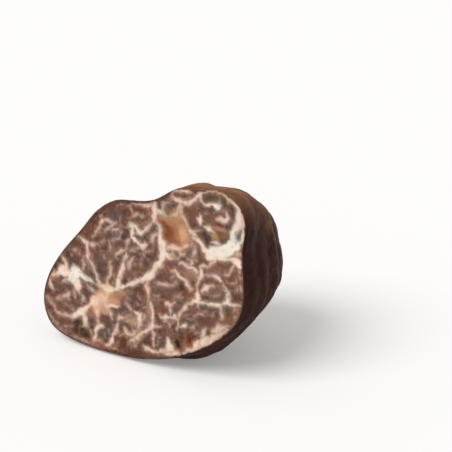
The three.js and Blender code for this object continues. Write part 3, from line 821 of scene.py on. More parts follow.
# %% Stains in the middle and in the top lobe
STAINS += [
    ((70, 66, 54), 0.85, (0.8, 7.4), (1.4, 0.6, 48)),
    ((84, 74, 60), 0.75, (-1.2, 5.7), (1.1, 0.5, -10)),
    ((104, 84, 92), 0.6, (0.6, 4.6), (0.8, 0.6, 0)),
    ((66, 50, 48), 0.5, (2.0, 4.4), (1.0, 0.4, 80)),
    ((94, 84, 70), 0.45, (0.4, 1.7), (1.4, 0.6, 70)),
    ((110, 84, 72), 0.5, (-0.2, 9.6), (0.8, 0.5, 70)),
    ((58, 44, 38), 0.85, (2.3, 11.8), (0.8, 0.35, 75)),
    ((70, 58, 54), 0.75, (3.1, 13.1), (1.1, 0.5, 35)),
    ((94, 86, 74), 0.8, (3.9, 11.4), (1.1, 0.7, 25)),
    ((84, 66, 56), 0.7, (5.3, 12.3), (0.9, 0.4, 35)),
    ((148, 124, 114), 0.6, (4.5, 13.2), (0.6, 0.4, 0)),
    ((76, 54, 30), 0.9, (6.4, 14.1), (1.2, 0.4, 8)),
    ((118, 70, 52), 0.6, (7.4, 11.8), (0.9, 0.4, 85)),
    ((124, 86, 66), 0.8, (8.2, 11.0), (1.5, 0.9, 65)),
    ((82, 62, 46), 0.6, (9.0, 9.7), (0.9, 0.4, 10)),
    ((82, 74, 60), 0.85, (12.2, 14.8), (1.8, 0.8, 2)),
    ((68, 54, 36), 0.7, (11.0, 14.3), (0.6, 0.3, 0)),
    ((70, 58, 40), 0.95, (15.3, 14.4), (1.5, 0.8, -38)),
    ((78, 64, 48), 0.8, (14.1, 14.9), (0.9, 0.7, 0)),
    ((150, 118, 108), 0.45, (9.4, 13.2), (0.8, 0.5, 0)),
    ((90, 74, 68), 0.65, (11.4, 12.8), (1.4, 0.6, -5)),
    ((96, 90, 76), 0.65, (11.6, 11.3), (1.3, 0.5, -10)),
    ((88, 38, 32), 0.85, (14.2, 10.7), (1.3, 0.35, 3)),
    ((186, 138, 116), 0.85, (13.9, 10.0), (1.3, 0.4, 3)),
    ((136, 100, 80), 0.7, (14.3, 9.1), (0.9, 0.5, 20)),
    ((172, 138, 98), 0.75, (12.9, 8.7), (0.7, 0.5, -10)),
    ((72, 58, 56), 0.75, (10.8, 9.0), (1.1, 0.6, -25)),
    ((62, 52, 50), 0.75, (11.6, 7.9), (0.9, 0.7, 80)),
    ((84, 64, 58), 0.8, (14.7, 8.2), (1.0, 0.5, 33)),
    ((90, 78, 66), 0.5, (15.3, 11.0), (0.4, 1.4, 0)),
    ((80, 76, 62), 1.0, (17.2, 9.5), (1.2, 0.6, 88)),
    ((118, 112, 100), 0.7, (16.9, 7.2), (0.35, 0.3, 0)),
]
print(len(STAINS), "stains so far")

# %% [markdown]
# On the right the cells are warmer and paler, with olive and maroon ones among them. Along the bottom
# they are small, and the flesh between the veins turns tan.

# %% Stains on the right and along the bottom
STAINS += [
    ((112, 94, 86), 0.5, (9.3, 6.3), (1.0, 0.7, 0)),
    ((80, 68, 60), 0.6, (8.2, 5.2), (0.9, 0.5, 20)),
    ((104, 88, 58), 0.75, (11.2, 4.5), (1.5, 0.6, 5)),
    ((74, 60, 42), 0.75, (7.4, 3.7), (0.9, 0.35, 20)),
    ((92, 72, 58), 0.6, (10.0, 3.5), (0.7, 0.3, 15)),
    ((124, 88, 76), 0.75, (14.2, 3.8), (1.6, 0.7, 10)),
    ((136, 80, 54), 0.8, (17.7, 2.9), (1.5, 0.45, -72)),
    ((124, 80, 80), 0.8, (5.9, 2.3), (1.1, 0.7, 10)),
    ((112, 70, 64), 0.7, (3.4, -0.4), (1.8, 0.8, 25)),
    ((172, 136, 108), 0.75, (8.7, 1.5), (1.8, 0.8, -10)),
    ((150, 135, 110), 0.5, (5.6, 0.2), (0.9, 0.5, 20)),
    ((128, 92, 72), 0.6, (7.4, 2.1), (1.0, 0.4, 0)),
    ((110, 76, 70), 0.6, (12.6, 1.2), (1.6, 0.5, 8)),
    ((82, 62, 52), 0.6, (15.0, -0.4), (0.5, 0.6, 0)),
    ((92, 70, 54), 0.65, (16.8, -0.4), (0.9, 0.6, 85)),
    ((126, 102, 88), 0.6, (13.2, -0.8), (2.4, 1.2, 0)),
    ((98, 82, 66), 0.5, (12.4, -1.8), (1.7, 0.4, 0)),
    ((84, 68, 52), 0.8, (12.2, -3.4), (2.2, 0.5, -4)),
    ((98, 84, 70), 0.7, (16.0, -2.9), (0.9, 0.5, 10)),
    ((112, 66, 50), 0.75, (8.7, -4.8), (1.2, 0.3, 48)),
    ((110, 92, 84), 0.5, (6.1, -5.0), (0.8, 0.8, 0)),
    ((106, 72, 66), 0.6, (12.2, -5.5), (1.9, 0.7, 15)),
    ((132, 94, 60), 0.8, (16.2, -4.5), (0.8, 0.6, -20)),
    ((126, 88, 52), 0.75, (15.1, -5.0), (0.7, 0.4, 10)),
    ((96, 80, 70), 0.55, (8.8, -6.4), (1.5, 0.5, 20)),
    ((96, 74, 66), 0.5, (10.8, -6.3), (1.4, 0.5, 10)),
    ((128, 100, 88), 0.55, (4.2, -2.5), (3.4, 0.8, 5)),
    ((92, 70, 58), 0.5, (3.2, -4.8), (1.1, 0.8, 0)),
    ((170, 134, 114), 0.5, (1.0, -5.9), (0.5, 1.1, 0)),
    ((84, 62, 46), 0.7, (3.0, -7.9), (1.1, 0.4, 10)),
    ((102, 66, 58), 0.6, (4.4, -8.9), (1.5, 0.45, 5)),
    ((130, 94, 86), 0.55, (6.2, -9.2), (1.0, 0.5, 0)),
    ((80, 60, 48), 0.65, (0.6, -11.6), (0.9, 1.1, 0)),
    ((88, 68, 58), 0.65, (3.5, -11.2), (0.9, 1.1, 0)),
    ((98, 62, 58), 0.6, (1.4, -12.3), (0.5, 0.35, 0)),
    ((100, 80, 70), 0.5, (8.4, -8.8), (0.9, 0.5, 0)),
    ((164, 118, 98), 0.6, (8.2, -10.6), (0.6, 0.9, 0)),
    ((152, 120, 100), 0.6, (6.5, -10.4), (0.8, 0.6, 0)),
    ((186, 150, 130), 0.5, (1.1, -6.7), (1.4, 0.7, 95)),
    ((100, 80, 78), 0.5, (-2.0, -4.8), (1.7, 0.8, 0)),
    ((88, 78, 74), 0.65, (-4.0, -7.6), (0.9, 0.7, 0)),
    ((112, 92, 74), 0.6, (-5.6, -8.2), (0.6, 0.4, 0)),
    ((178, 148, 122), 0.6, (-2.7, -8.9), (1.5, 1.1, 10)),
    ((196, 164, 134), 0.55, (-2.9, -11.0), (0.9, 0.4, 0)),
    ((168, 134, 112), 0.5, (-0.6, -11.6), (1.2, 0.5, 35)),
    ((150, 124, 110), 0.5, (-3.9, -5.8), (0.8, 0.5, 20)),
    ((128, 100, 76), 0.6, (-2.6, -10.6), (0.7, 0.4, 0)),
    ((76, 48, 32), 0.85, (-3.4, -9.9), (0.35, 0.3, 0)),
    ((76, 48, 32), 0.85, (-2.9, -10.5), (0.35, 0.3, 0)),
    ((114, 70, 74), 0.75, (-8.0, -10.0), (1.4, 0.75, 12)),
    ((128, 88, 86), 0.6, (-8.9, -10.5), (0.8, 0.4, 20)),
    ((108, 90, 92), 0.6, (-6.4, -10.0), (0.6, 0.5, 80)),
    ((86, 78, 72), 0.65, (-7.2, -11.0), (0.9, 0.5, 0)),
    ((158, 154, 134), 0.75, (-7.1, -11.9), (0.6, 0.4, 70)),
    ((82, 72, 60), 0.65, (-8.4, -12.7), (1.1, 0.8, 25)),
    ((150, 108, 76), 0.9, (-10.9, -9.3), (1.3, 0.9, 5)),
    ((110, 74, 66), 0.65, (-10.9, -10.9), (0.9, 0.5, 10)),
    ((96, 80, 70), 0.5, (-10.7, -12.2), (0.7, 0.6, 0)),
    ((96, 78, 60), 0.5, (-4.4, -11.6), (0.8, 0.5, 0)),
    ((100, 64, 44), 0.7, (-4.3, -12.8), (1.1, 0.9, 20)),
    ((200, 150, 128), 0.6, (-9.2, -14.5), (1.2, 0.5, -5)),
    ((164, 116, 94), 0.5, (-6.3, -15.0), (1.5, 0.4, 0)),
    ((96, 66, 50), 0.5, (-11.3, -14.0), (1.0, 0.5, -15)),
    ((86, 64, 60), 0.55, (-17.2, -6.6), (2.2, 0.8, 22)),
    ((82, 64, 58), 0.6, (-11.9, -6.2), (0.9, 0.9, 0)),
    ((74, 60, 50), 0.6, (-11.5, -7.4), (1.0, 0.35, 80)),
    ((84, 66, 54), 0.6, (-14.7, -7.4), (0.9, 0.4, 85)),
    ((86, 74, 60), 0.6, (-13.6, -8.8), (1.2, 0.5, -8)),
    ((98, 84, 74), 0.5, (-16.8, -9.5), (1.9, 0.6, 5)),
    ((64, 42, 42), 0.7, (-20.0, -7.8), (0.8, 0.5, 70)),
    ((72, 52, 46), 0.65, (-19.5, -11.0), (1.3, 0.6, -50)),
    ((112, 70, 62), 0.6, (-16.0, -12.5), (1.8, 0.5, 0)),
    ((78, 48, 48), 0.65, (-14.6, -13.6), (1.2, 0.6, 10)),
    ((70, 32, 34), 0.75, (-13.7, -13.1), (0.8, 0.35, 80)),
    ((110, 92, 74), 0.65, (-18.3, -13.0), (1.6, 0.5, -35)),
]
print(len(STAINS), "stains so far")

# %% [markdown]
# The knot is peach, and nearly white in places. The hollow is tan, with painted shade down its left wall
# and a painted lit patch on its right wall. Rust, soil and shaded pits give the last spots, most of them
# near the rind.

# %% Stains of the knot, the hollow and the rust
STAINS += [
    ((232, 190, 164), 0.9, (-9.0, -7.4), (2.0, 1.0, 55)),
    ((246, 212, 182), 0.95, (-7.9, -5.8), (1.9, 1.2, 40)),
    ((250, 226, 198), 0.9, (-7.6, -4.4), (1.7, 0.5, 5)),
    ((255, 238, 206), 0.9, (-6.9, -4.5), (0.7, 0.4, 10)),
    ((206, 168, 136), 0.6, (-8.6, -5.2), (0.5, 0.9, 50)),
    ((255, 226, 206), 0.95, (-10.0, -7.5), (0.8, 1.0, 0)),
    ((236, 190, 164), 0.9, (-9.4, -8.9), (0.6, 0.9, 0)),
    ((255, 222, 198), 0.85, (-7.3, -7.5), (0.8, 0.5, 20)),
    ((216, 172, 146), 0.85, (-6.1, -6.5), (1.4, 0.6, 5)),
    ((206, 156, 122), 0.85, (-6.0, -5.7), (1.2, 0.7, 15)),
    ((180, 128, 102), 0.75, (-5.3, -5.6), (0.8, 0.6, 10)),
    ((152, 104, 80), 0.6, (-4.8, -5.7), (0.5, 0.4, 10)),
    ((128, 82, 62), 0.75, (-4.5, -6.2), (0.4, 0.4, 0)),
    ((196, 152, 110), 0.6, (-7.0, -6.0), (0.4, 0.5, 0)),
    ((255, 222, 200), 0.95, (-6.0, -7.25), (1.1, 0.32, 8)),
    ((216, 174, 150), 0.85, (-8.0, -8.5), (0.9, 0.7, 20)),
    ((196, 156, 132), 0.7, (-4.4, -4.7), (0.9, 0.5, 20)),
    ((168, 134, 114), 0.6, (2.3, -4.1), (0.8, 0.6, 0)),
    ((200, 168, 144), 0.6, (5.6, 3.7), (0.8, 0.5, 0)),
    ((162, 130, 112), 0.6, (-2.8, -4.1), (0.9, 0.5, 15)),
    ((210, 164, 128), 1.0, (5.2, 8.0), (3.1, 2.4, -42)),
    ((208, 172, 126), 0.95, (5.4, 10.2), (1.3, 0.7, 10)),
    ((224, 176, 134), 0.9, (3.5, 9.5), (0.9, 0.5, 30)),
    ((206, 152, 118), 0.9, (2.8, 9.2), (0.6, 0.5, 60)),
    # Painted shade: these dark dabs run down the hollow's left wall, which faces away from the light.
    ((180, 124, 82), 0.6, (4.7, 7.8), (1.8, 0.3, -60)),
    ((148, 92, 54), 0.95, (3.1, 8.0), (1.5, 0.65, -65)),
    ((134, 80, 44), 0.9, (3.0, 7.9), (0.9, 0.4, -75)),
    ((156, 102, 66), 0.7, (4.5, 7.2), (1.2, 0.5, -50)),
    ((136, 80, 44), 0.95, (3.9, 6.7), (1.4, 0.75, -50)),
    ((144, 90, 56), 0.9, (5.1, 5.7), (1.6, 0.55, -12)),
    # Painted light: a paler patch on the hollow's right wall, which faces the light.
    ((222, 184, 148), 0.7, (6.4, 7.8), (1.2, 0.9, -30)),
    ((84, 44, 24), 0.95, (8.7, 15.6), (1.4, 0.6, 75)),
    ((60, 40, 28), 0.85, (9.7, 15.8), (0.8, 0.5, 45)),
    ((184, 126, 92), 0.9, (-19.4, -5.4), (0.7, 0.45, 30)),
    ((66, 52, 38), 0.9, (-13.4, -11.9), (0.9, 0.6, 0)),
    ((74, 60, 36), 0.95, (-12.4, -13.3), (0.9, 0.7, 0)),
    ((66, 40, 16), 0.95, (-11.7, -14.0), (0.7, 0.5, 0)),
    ((114, 58, 20), 0.95, (9.1, -10.0), (0.65, 0.85, 0)),
    ((104, 66, 34), 0.7, (8.9, -9.1), (0.6, 0.3, 0)),
    ((60, 54, 46), 0.8, (6.8, -10.6), (0.5, 0.5, 0)),
    ((40, 24, 12), 1.0, (7.1, -11.3), (1.5, 0.36, -66)),
    ((118, 54, 24), 0.9, (7.7, -11.8), (0.9, 0.4, -60)),
    ((92, 54, 28), 0.95, (-3.7, -13.4), (0.9, 0.5, 85)),
    ((140, 86, 68), 0.85, (-8.0, -15.0), (2.8, 0.5, -4)),
    ((96, 56, 42), 0.85, (-1.6, -14.2), (2.4, 0.7, 3)),
    ((98, 62, 48), 0.8, (1.6, -14.1), (1.6, 0.4, 8)),
    ((104, 98, 80), 0.85, (12.1, -7.9), (0.4, 0.4, 0)),
    ((60, 48, 38), 0.7, (12.2, -1.6), (0.3, 0.25, 0)),
    ((120, 102, 84), 0.8, (5.0, -12.8), (0.3, 0.25, 0)),
    ((122, 102, 64), 0.8, (5.8, 4.6), (0.4, 0.35, 0)),
    ((84, 54, 40), 0.7, (0.3, 12.0), (0.9, 0.3, 10)),
]
print(len(STAINS), "stains in all")

# %% [markdown]
# Cracks and pits are strokes as well, with a depth and a softness in place of a tint.

# %% Cracks and pits in the cut
DENTS = [
    (0.5, 0.30, (6.7, -10.4, 0.2), (7.1, -11.3, 0.3), (7.6, -12.4, 0.3)),
    (0.5, 0.50, (9.1, -9.6, 0.5), (9.1, -10.2, 0.5)),
    (0.45, 0.50, (-12.5, -13.2, 0.6), (-11.5, -14.2, 0.4)),
    (0.35, 0.40, (-13.4, -11.8, 0.3), (-13.6, -13.6, 0.3)),
    (0.4, 0.45, (-3.7, -12.9, 0.4), (-3.6, -14.0, 0.4)),
    (0.12, 0.45, (-5.3, -5.4, 0.3), (-4.6, -5.5, 0.4)),
    (0.9, 0.60, (8.7, 16.8, 0.9), (8.9, 15.2, 0.3)),
    (0.3, 0.30, (17.1, 9.3, 0.4), (17.1, 9.9, 0.3)),
    (0.25, 0.25, (-3.4, -10.0, 0.2), (-3.0, -10.4, 0.2)),
]
print(len(DENTS), "cracks and pits")

# %% [markdown]
# ## From strokes to curves
# A stroke made of straight pieces between a few points is too stiff for tissue. Its points are joined
# by a curve that passes through all of them, and its ends thin out. The strokes along the edge get
# their points here, from the outline.

# %% Strokes as curves
CURVE_STEPS = 4
TAPER = 0.8
TAPER_END = 0.45
EDGE_STEP = 3


def edge_stroke(tint, power, first, last, inset, width):
    """A stroke that follows the outline of the face between two directions, in degrees."""
    turns = np.radians(np.linspace(first, last, 2 + round((last - first) / EDGE_STEP)))
    radii = np.interp(turns, outline_angles, outline_radii, period=2 * np.pi) - inset
    points = zip(radii * np.cos(turns), radii * np.sin(turns), np.full(len(turns), width))
    return (tint, power, *points)


def stroke_widths(points):
    """A width for every point; a point given without one takes it from its neighbours in the stroke."""
    given = [number for number, point in enumerate(points) if len(point) > 2]
    return np.interp(range(len(points)), given, [points[number][2] for number in given])


def smooth_curve(points):
    """A stroke's points and widths with more points between them, on a curve through all of them."""
    bends = np.array([(*point[:2], width) for point, width in zip(points, stroke_widths(points))])
    if len(bends) < 3:
        return bends
    ends = np.vstack([2 * bends[0] - bends[1], bends, 2 * bends[-1] - bends[-2]])
    curve = []
    for before, start, end, after in zip(ends, ends[1:], ends[2:], ends[3:]):
        for share in np.arange(CURVE_STEPS) / CURVE_STEPS:
            slope = (end - before) * share
            bow = (2 * before - 5 * start + 4 * end - after) * share**2
            twist = (3 * start - before - 3 * end + after) * share**3
            curve.append((2 * start + slope + bow + twist) / 2)
    return np.array([*curve, bends[-1]])


def tapered(curve):
    """The curve with its width going down towards both ends."""
    steps = np.linalg.norm(np.diff(curve[:, :2], axis=0), axis=1)
    along = np.concatenate([[0], np.cumsum(steps)])
    from_end = np.minimum(along, along[-1] - along)
    share = np.clip(from_end / TAPER, 0, 1)
    width = curve[:, 2] * (TAPER_END + (1 - TAPER_END) * share)
    return np.column_stack([curve[:, :2], width])


VEINS["inside the edge"] = [edge_stroke(*line) for line in EDGE_LINES]
print(len(VEINS["inside the edge"]), "strokes follow the edge")

# %% [markdown]
# A curve's edges are still too clean, so the whole drawing is read through a fine ripple: each knot of
# the face looks the drawing up a little beside its own place. The ripple is a sum of waves that run in
# random directions, from fixed seeds.

# %% Ripple
RIPPLES = ((2.6, 0.08), (1.1, 0.035))
WAVES = 14


def ripple(places, size, seed):
    """A smooth wavy value for each place, about -1 to 1, with waves of about a given size."""
    dice = np.random.default_rng(seed)
    total = np.zeros(len(places))
    for _ in range(WAVES):
        way = dice.uniform(0, 2 * math.pi)
        length = size * dice.uniform(0.6, 1.6)
        phase = dice.uniform(0, 2 * math.pi)
        total += np.cos((places @ [math.cos(way), math.sin(way)]) * 2 * math.pi / length + phase)
    return total / math.sqrt(WAVES / 2)


def rippled(places):
    """The places moved a little, so that what is drawn there gets wandering edges."""
    moved = places.copy()
    for number, (size, strength) in enumerate(RIPPLES):
        for axis in (0, 1):
            moved[:, axis] += strength * ripple(places, size, 10 * number + axis)
    return moved


face_places = np.stack([face_right.ravel(), face_up.ravel()], axis=1)
drawn_places = rippled(face_places)
print("the ripple moves places by up to", round(abs(drawn_places - face_places).max(), 2), "mm")

# %% [markdown]
# ## Reading the drawing onto the face
# For every knot of the face the drawing tells how deep it lies inside a vein, in millimetres, which
# tint and strength the veins close by have, what stains cover it and how far it is pressed in. Only
# the knots in the box round a stroke are asked about it, which saves most of the work.

# %% Reading the drawing
TINT_BLUR = 0.12
FAR_FROM_VEIN = -2.0
NEAR_STROKE = 1.6
DAB_SOFTNESS = 0.55
TINY = 1e-12


def stroke_depth(places, points):
    """How deep places lie inside a stroke (negative outside it), and how far along it, 0 to 1."""
    curve = tapered(smooth_curve(points))
    depth = np.full(len(places), -np.inf)
    along = np.zeros(len(places))
    for number, (start, end) in enumerate(zip(curve, curve[1:])):
        way = end[:2] - start[:2]
        share = np.clip((places - start[:2]) @ way / max(way @ way, TINY), 0, 1)
        distance = np.linalg.norm(places - start[:2] - share[:, None] * way, axis=1)
        inside = (start[2] + (end[2] - start[2]) * share) / 2 - distance
        deeper = inside > depth
        depth[deeper] = inside[deeper]
        along[deeper] = (number + share[deeper]) / (len(curve) - 1)
    return depth, along


def near(places, points, margin):
    """Which places lie in the box round a stroke, with a margin."""
    flat = np.array([point[:2] for point in points])
    return np.where(((places > flat.min(0) - margin) & (places < flat.max(0) + margin)).all(axis=1))[0]


def read_veins(places):
    """Depth inside the nearest vein, and the colour and strength of the veins close by."""
    depth = np.full(len(places), FAR_FROM_VEIN)
    weights = np.full(len(places), TINY)
    tint = np.zeros((len(places), 3))
    strength = np.zeros(len(places))
    for strokes in VEINS.values():
        for name, power, *points in strokes:
            close = near(places, points, NEAR_STROKE)
            inside, along = stroke_depth(places[close], points)
            first, last = power if isinstance(power, tuple) else (power, power)
            weight = np.exp(inside / TINT_BLUR)
            depth[close] = np.maximum(depth[close], inside)
            weights[close] += weight
            tint[close] += weight[:, None] * to_linear(TINTS[name])
            strength[close] += weight * (first + (last - first) * along)
    return depth, tint / weights[:, None], strength / weights


def dab_cover(places, middle, size):
    """How much a soft oval dab covers each place, 0 to 1."""
    long, short, lean = size
    lean = math.radians(lean)
    offset = places - np.array(middle)
    along = offset @ np.array([math.cos(lean), math.sin(lean)]) / long
    across = offset @ np.array([-math.sin(lean), math.cos(lean)]) / short
    share = np.clip((1 + DAB_SOFTNESS - np.hypot(along, across)) / (2 * DAB_SOFTNESS), 0, 1)
    return share * share * (3 - 2 * share)


def read_stains(places):
    """The colour of the stains and how much they cover, laid one over another."""
    colour = np.zeros((len(places), 3))
    cover = np.zeros(len(places))
    for dab_colour, strength, middle, size in STAINS:
        share = strength * dab_cover(places, middle, size)
        total = share + cover * (1 - share)
        mix = np.where(total > 0, share / np.maximum(total, TINY), 0)[:, None]
        colour = to_linear(dab_colour) * mix + colour * (1 - mix)
        cover = total
    return colour, cover


def read_dents(places):
    """How far the knife's face is pressed in by cracks and pits, in millimetres."""
    dent = np.zeros(len(places))
    for depth, softness, *points in DENTS:
        close = near(places, points, NEAR_STROKE + softness)
        inside, _ = stroke_depth(places[close], points)
        share = np.clip((inside + softness) / (2 * softness), 0, 1)
        dent[close] = np.minimum(dent[close], -depth * share * share * (3 - 2 * share))
    return dent


vein_depth, vein_tint, vein_strength = read_veins(drawn_places)
stain_colour, stain_cover = read_stains(drawn_places)
face_dent = read_dents(drawn_places)
print("veins cover", round(100 * float((vein_depth > 0).mean())), "percent of the face")

# %% [markdown]
# ## Where the rind differs
# The rind is not the same all round. Measures that the finishes need are worked out once for each
# knot: how far a place lies inside the knife's edge (negative on the rind), how far behind the cut it
# is and how far round the body (at its usual radius, so also in millimetres), and how much it belongs
# to the right flank, which is folded, is painted darker as shade, and fades out towards the back.

# %% Measures for the whole skin
FLANK_TURN = math.radians(-20)
FLANK_FROM = 0.36
FLANK_TO = 0.75
FLANK_ENDS = (9, 22)
GIRTH = 15.0
BATCH = 4000


def edge_distance(knots, edge_line):
    """Millimetres from each knot to the nearest point of the knife's edge."""
    nearest = np.empty(len(knots))
    for start in range(0, len(knots), BATCH):
        apart = knots[start:start + BATCH, None] - edge_line[None]
        nearest[start:start + BATCH] = np.linalg.norm(apart, axis=2).min(axis=1) / MM
    return nearest


def soft_step(value, low, high):
    """Goes smoothly from 0 to 1 while value goes from low to high."""
    share = np.clip((value - low) / (high - low), 0, 1)
    return share * share * (3 - 2 * share)


def flank_share(direction, behind):
    """How much a direction round the body, so far behind the cut, belongs to the right flank."""
    sideways_share = soft_step(np.cos(direction - FLANK_TURN), FLANK_FROM, FLANK_TO)
    return sideways_share * (1 - soft_step(behind, *FLANK_ENDS))


on_edge = reach.ravel() == 1
flat_face = MIDDLE + MM * (face_places[:, :1] * RIGHT + face_places[:, 1:] * UP)
edge_line = face_knots.reshape(-1, 3)[on_edge]
face_inset = edge_distance(flat_face, edge_line)
face_turn = np.arctan2(face_places[:, 1], face_places[:, 0])
section_turns, section_widths = np.transpose(SECTION_LINE)
face_section = np.interp(face_turn, np.radians(section_turns), section_widths) - face_inset
rind_inner = rind_knots.reshape(-1, 3)[~on_edge]
rind_inset = -edge_distance(rind_inner, edge_line)
rind_behind = -(rind_inner - MIDDLE) @ OUT / MM
rind_turn = np.arctan2((rind_inner - MIDDLE) @ UP, (rind_inner - MIDDLE) @ RIGHT)
rind_flank = flank_share(rind_turn, rind_behind)
face_flank = flank_share(face_turn, 0)
rind_around = rind_turn * GIRTH
print("the rind reaches", round(float(rind_behind.max()), 1), "mm behind the cut")

# %% [markdown]
# ## One closed mesh
# The two nets are sewn into one mesh: the rind's outermost ring is not added again, its squares use
# the face's knots there. What was measured goes along as attributes, which both the relief and the
# finishes read. The squares of the face and of the rind get their own material slots.

# %% Sew the nets together


def net_squares(numbers):
    """The squares of a net, as four knot numbers each."""
    corners = numbers[:-1, :-1], numbers[:-1, 1:], numbers[1:, 1:], numbers[1:, :-1]
    return np.stack(corners, axis=-1).reshape(-1, 4)


def store(mesh, name, kind, values):
    """Adds a named attribute to the mesh's points."""
    field = "color" if kind == "FLOAT_COLOR" else "value"
    mesh.attributes.new(name, kind, "POINT").data.foreach_set(field, values.astype(np.float32).ravel())


def sew():
    face_numbers = np.arange(reach.size).reshape(reach.shape)
    rind_numbers = face_numbers.copy().ravel()
    rind_numbers[~on_edge] = reach.size + np.arange((~on_edge).sum())
    knots = np.vstack([face_knots.reshape(-1, 3), rind_inner])
    face_squares = net_squares(face_numbers)
    rind_squares = net_squares(rind_numbers.reshape(reach.shape))[:, ::-1]
    mesh = bpy.data.meshes.new("truffle_half")
    mesh.from_pydata(knots.tolist(), [], np.vstack([face_squares, rind_squares]).tolist())
    is_rind = np.arange(len(mesh.polygons)) >= len(face_squares)
    mesh.polygons.foreach_set("material_index", is_rind.astype(np.int32))
    for face_values, rind_values, name in (
        (face_inset, rind_inset, "inset"),
        (np.zeros(reach.size), rind_behind, "behind"),
        (face_flank, rind_flank, "flank"),
        (face_turn * GIRTH, rind_around, "around"),
        (face_section, np.ones(len(rind_inner)), "section"),
        (vein_depth, np.full(len(rind_inner), FAR_FROM_VEIN), "vein"),
        (vein_strength, np.zeros(len(rind_inner)), "vein_strength"),
        (face_dent, np.zeros(len(rind_inner)), "dent"),
    ):
        store(mesh, name, "FLOAT", np.concatenate([face_values, rind_values]))
    blank = np.zeros((len(rind_inner), 4))
    opaque = np.ones((reach.size, 1))
    tint = np.vstack([np.hstack([vein_tint, opaque]), blank])
    stain = np.vstack([np.hstack([stain_colour, stain_cover[:, None]]), blank])
    store(mesh, "vein_tint", "FLOAT_COLOR", tint)
    store(mesh, "stain", "FLOAT_COLOR", stain)
    mesh.validate()
    mesh.update()
    return mesh


sewn = sew()
truffle = bpy.data.objects.new("truffle_half", sewn)
bpy.context.scene.collection.objects.link(truffle)
print("one mesh of", len(sewn.vertices), "points and", len(sewn.polygons), "squares")

# %% [markdown]
# ## Shared effects
# Cloudy patches of a chosen size are needed again and again in both finishes, so they are a node
# group with its own inputs, placed with new values each time. The rind's round specks are another.

# %% Shader groups


def new_group(name, inputs, outputs):
    """An empty shader group with named float inputs, a Vector input and float outputs."""
    group = bpy.data.node_groups.new(name, "ShaderNodeTree")
    group.interface.new_socket("Vector", in_out="INPUT", socket_type="NodeSocketVector")
    for socket_name, value in inputs.items():
        socket = group.interface.new_socket(socket_name, in_out="INPUT", socket_type="NodeSocketFloat")
        socket.default_value = value
    for socket_name in outputs:
        group.interface.new_socket(socket_name, in_out="OUTPUT", socket_type="NodeSocketFloat")
    return group, group.nodes.new("NodeGroupInput"), group.nodes.new("NodeGroupOutput")


def make_clouds():
    """Cloudy patches: Size in millimetres, Share of the surface they take, Softness of their edge."""
    defaults = {"Size": 3.0, "Share": 0.5, "Softness": 0.1, "Detail": 3.0, "Seed": 0.0}
    group, given, result = new_group("clouds", defaults, ["Mask", "Height"])
    noise = add(group, "ShaderNodeTexNoise", {
        "Vector": given.outputs["Vector"],
        "W": given.outputs["Seed"],
        "Scale": calc(group, "DIVIDE", 1 / MM, given.outputs["Size"]),
        "Detail": given.outputs["Detail"],
        "Roughness": 0.6,
    }, noise_dimensions="4D").outputs[0]
    level = calc(group, "SUBTRACT", 1.0, given.outputs["Share"])
    level = step(group, level, 0.0, 1.0, 0.3, 0.7)
    low = calc(group, "SUBTRACT", level, given.outputs["Softness"])
    high = calc(group, "ADD", level, given.outputs["Softness"])
    group.links.new(step(group, noise, low, high), result.inputs["Mask"])
    group.links.new(noise, result.inputs["Height"])
    return group


def make_specks():
    """Scattered round specks: Size across and Spacing in millimetres, and a Mask that is 1 in them."""
    defaults = {"Size": 0.3, "Spacing": 1.5, "Seed": 0.0}
    group, given, result = new_group("specks", defaults, ["Mask"])
    cells = add(group, "ShaderNodeTexVoronoi", {
        "Vector": given.outputs["Vector"],
        "W": given.outputs["Seed"],
        "Scale": calc(group, "DIVIDE", 1 / MM, given.outputs["Spacing"]),
    }, voronoi_dimensions="4D")
    radius = calc(group, "DIVIDE", given.outputs["Size"], given.outputs["Spacing"])
    inner = calc(group, "MULTIPLY", radius, 0.3)
    group.links.new(step(group, cells.outputs["Distance"], inner, radius, 1.0, 0.0), result.inputs["Mask"])
    return group


CLOUDS = make_clouds()
SPECKS = make_specks()
print("groups:", CLOUDS.name, SPECKS.name)

# %% [markdown]
# Short helpers place the groups in a material. Both finishes are a base brown with one kind of cloudy
# patch after another laid over it, so a list of patches says most of what a finish is: for each kind
# its colour, its strength, its size in millimetres, the share it takes, its softness and its seed.
# Both finishes also end in the same way: a fine grain changes the roughness and gives a low bump.

# %% Helpers for the finishes


def use_group(tree, group, vector, values):
    """Places a shader group in a material with its own values."""
    placed = add(tree, "ShaderNodeGroup", node_tree=group)
    tree.links.new(vector, placed.inputs["Vector"])
    for name, value in values.items():
        placed.inputs[name].default_value = value
    return placed


def clouds(tree, vector, size, share, softness, seed=0.0):
    values = {"Size": size, "Share": share, "Softness": softness, "Seed": seed}
    return use_group(tree, CLOUDS, vector, values).outputs["Mask"]


def cloud_height(tree, vector, size, detail, seed):
    return use_group(tree, CLOUDS, vector, {"Size": size, "Detail": detail, "Seed": seed}).outputs["Height"]


def specks(tree, vector, size, spacing):
    return use_group(tree, SPECKS, vector, {"Size": size, "Spacing": spacing}).outputs["Mask"]


def attribute(tree, name, output="Fac"):
    return add(tree, "ShaderNodeAttribute", attribute_name=name).outputs[output]


def layered(tree, vector, colour, patches):
    """The colour with one kind of cloudy patch after another laid over it."""
    for tint, strength, size, share, softness, seed in patches:
        mask = clouds(tree, vector, size, share, softness, seed)
        colour = mixed(tree, calc(tree, "MULTIPLY", mask, strength), colour, paint(*tint))
    return colour


def new_finish(name):
    """A new material with its Object coordinates and its Principled shader."""
    material = bpy.data.materials.new(name)
    material.use_nodes = True
    tree = material.node_tree
    place = add(tree, "ShaderNodeTexCoord").outputs["Object"]
    return material, tree, place, tree.nodes["Principled BSDF"]


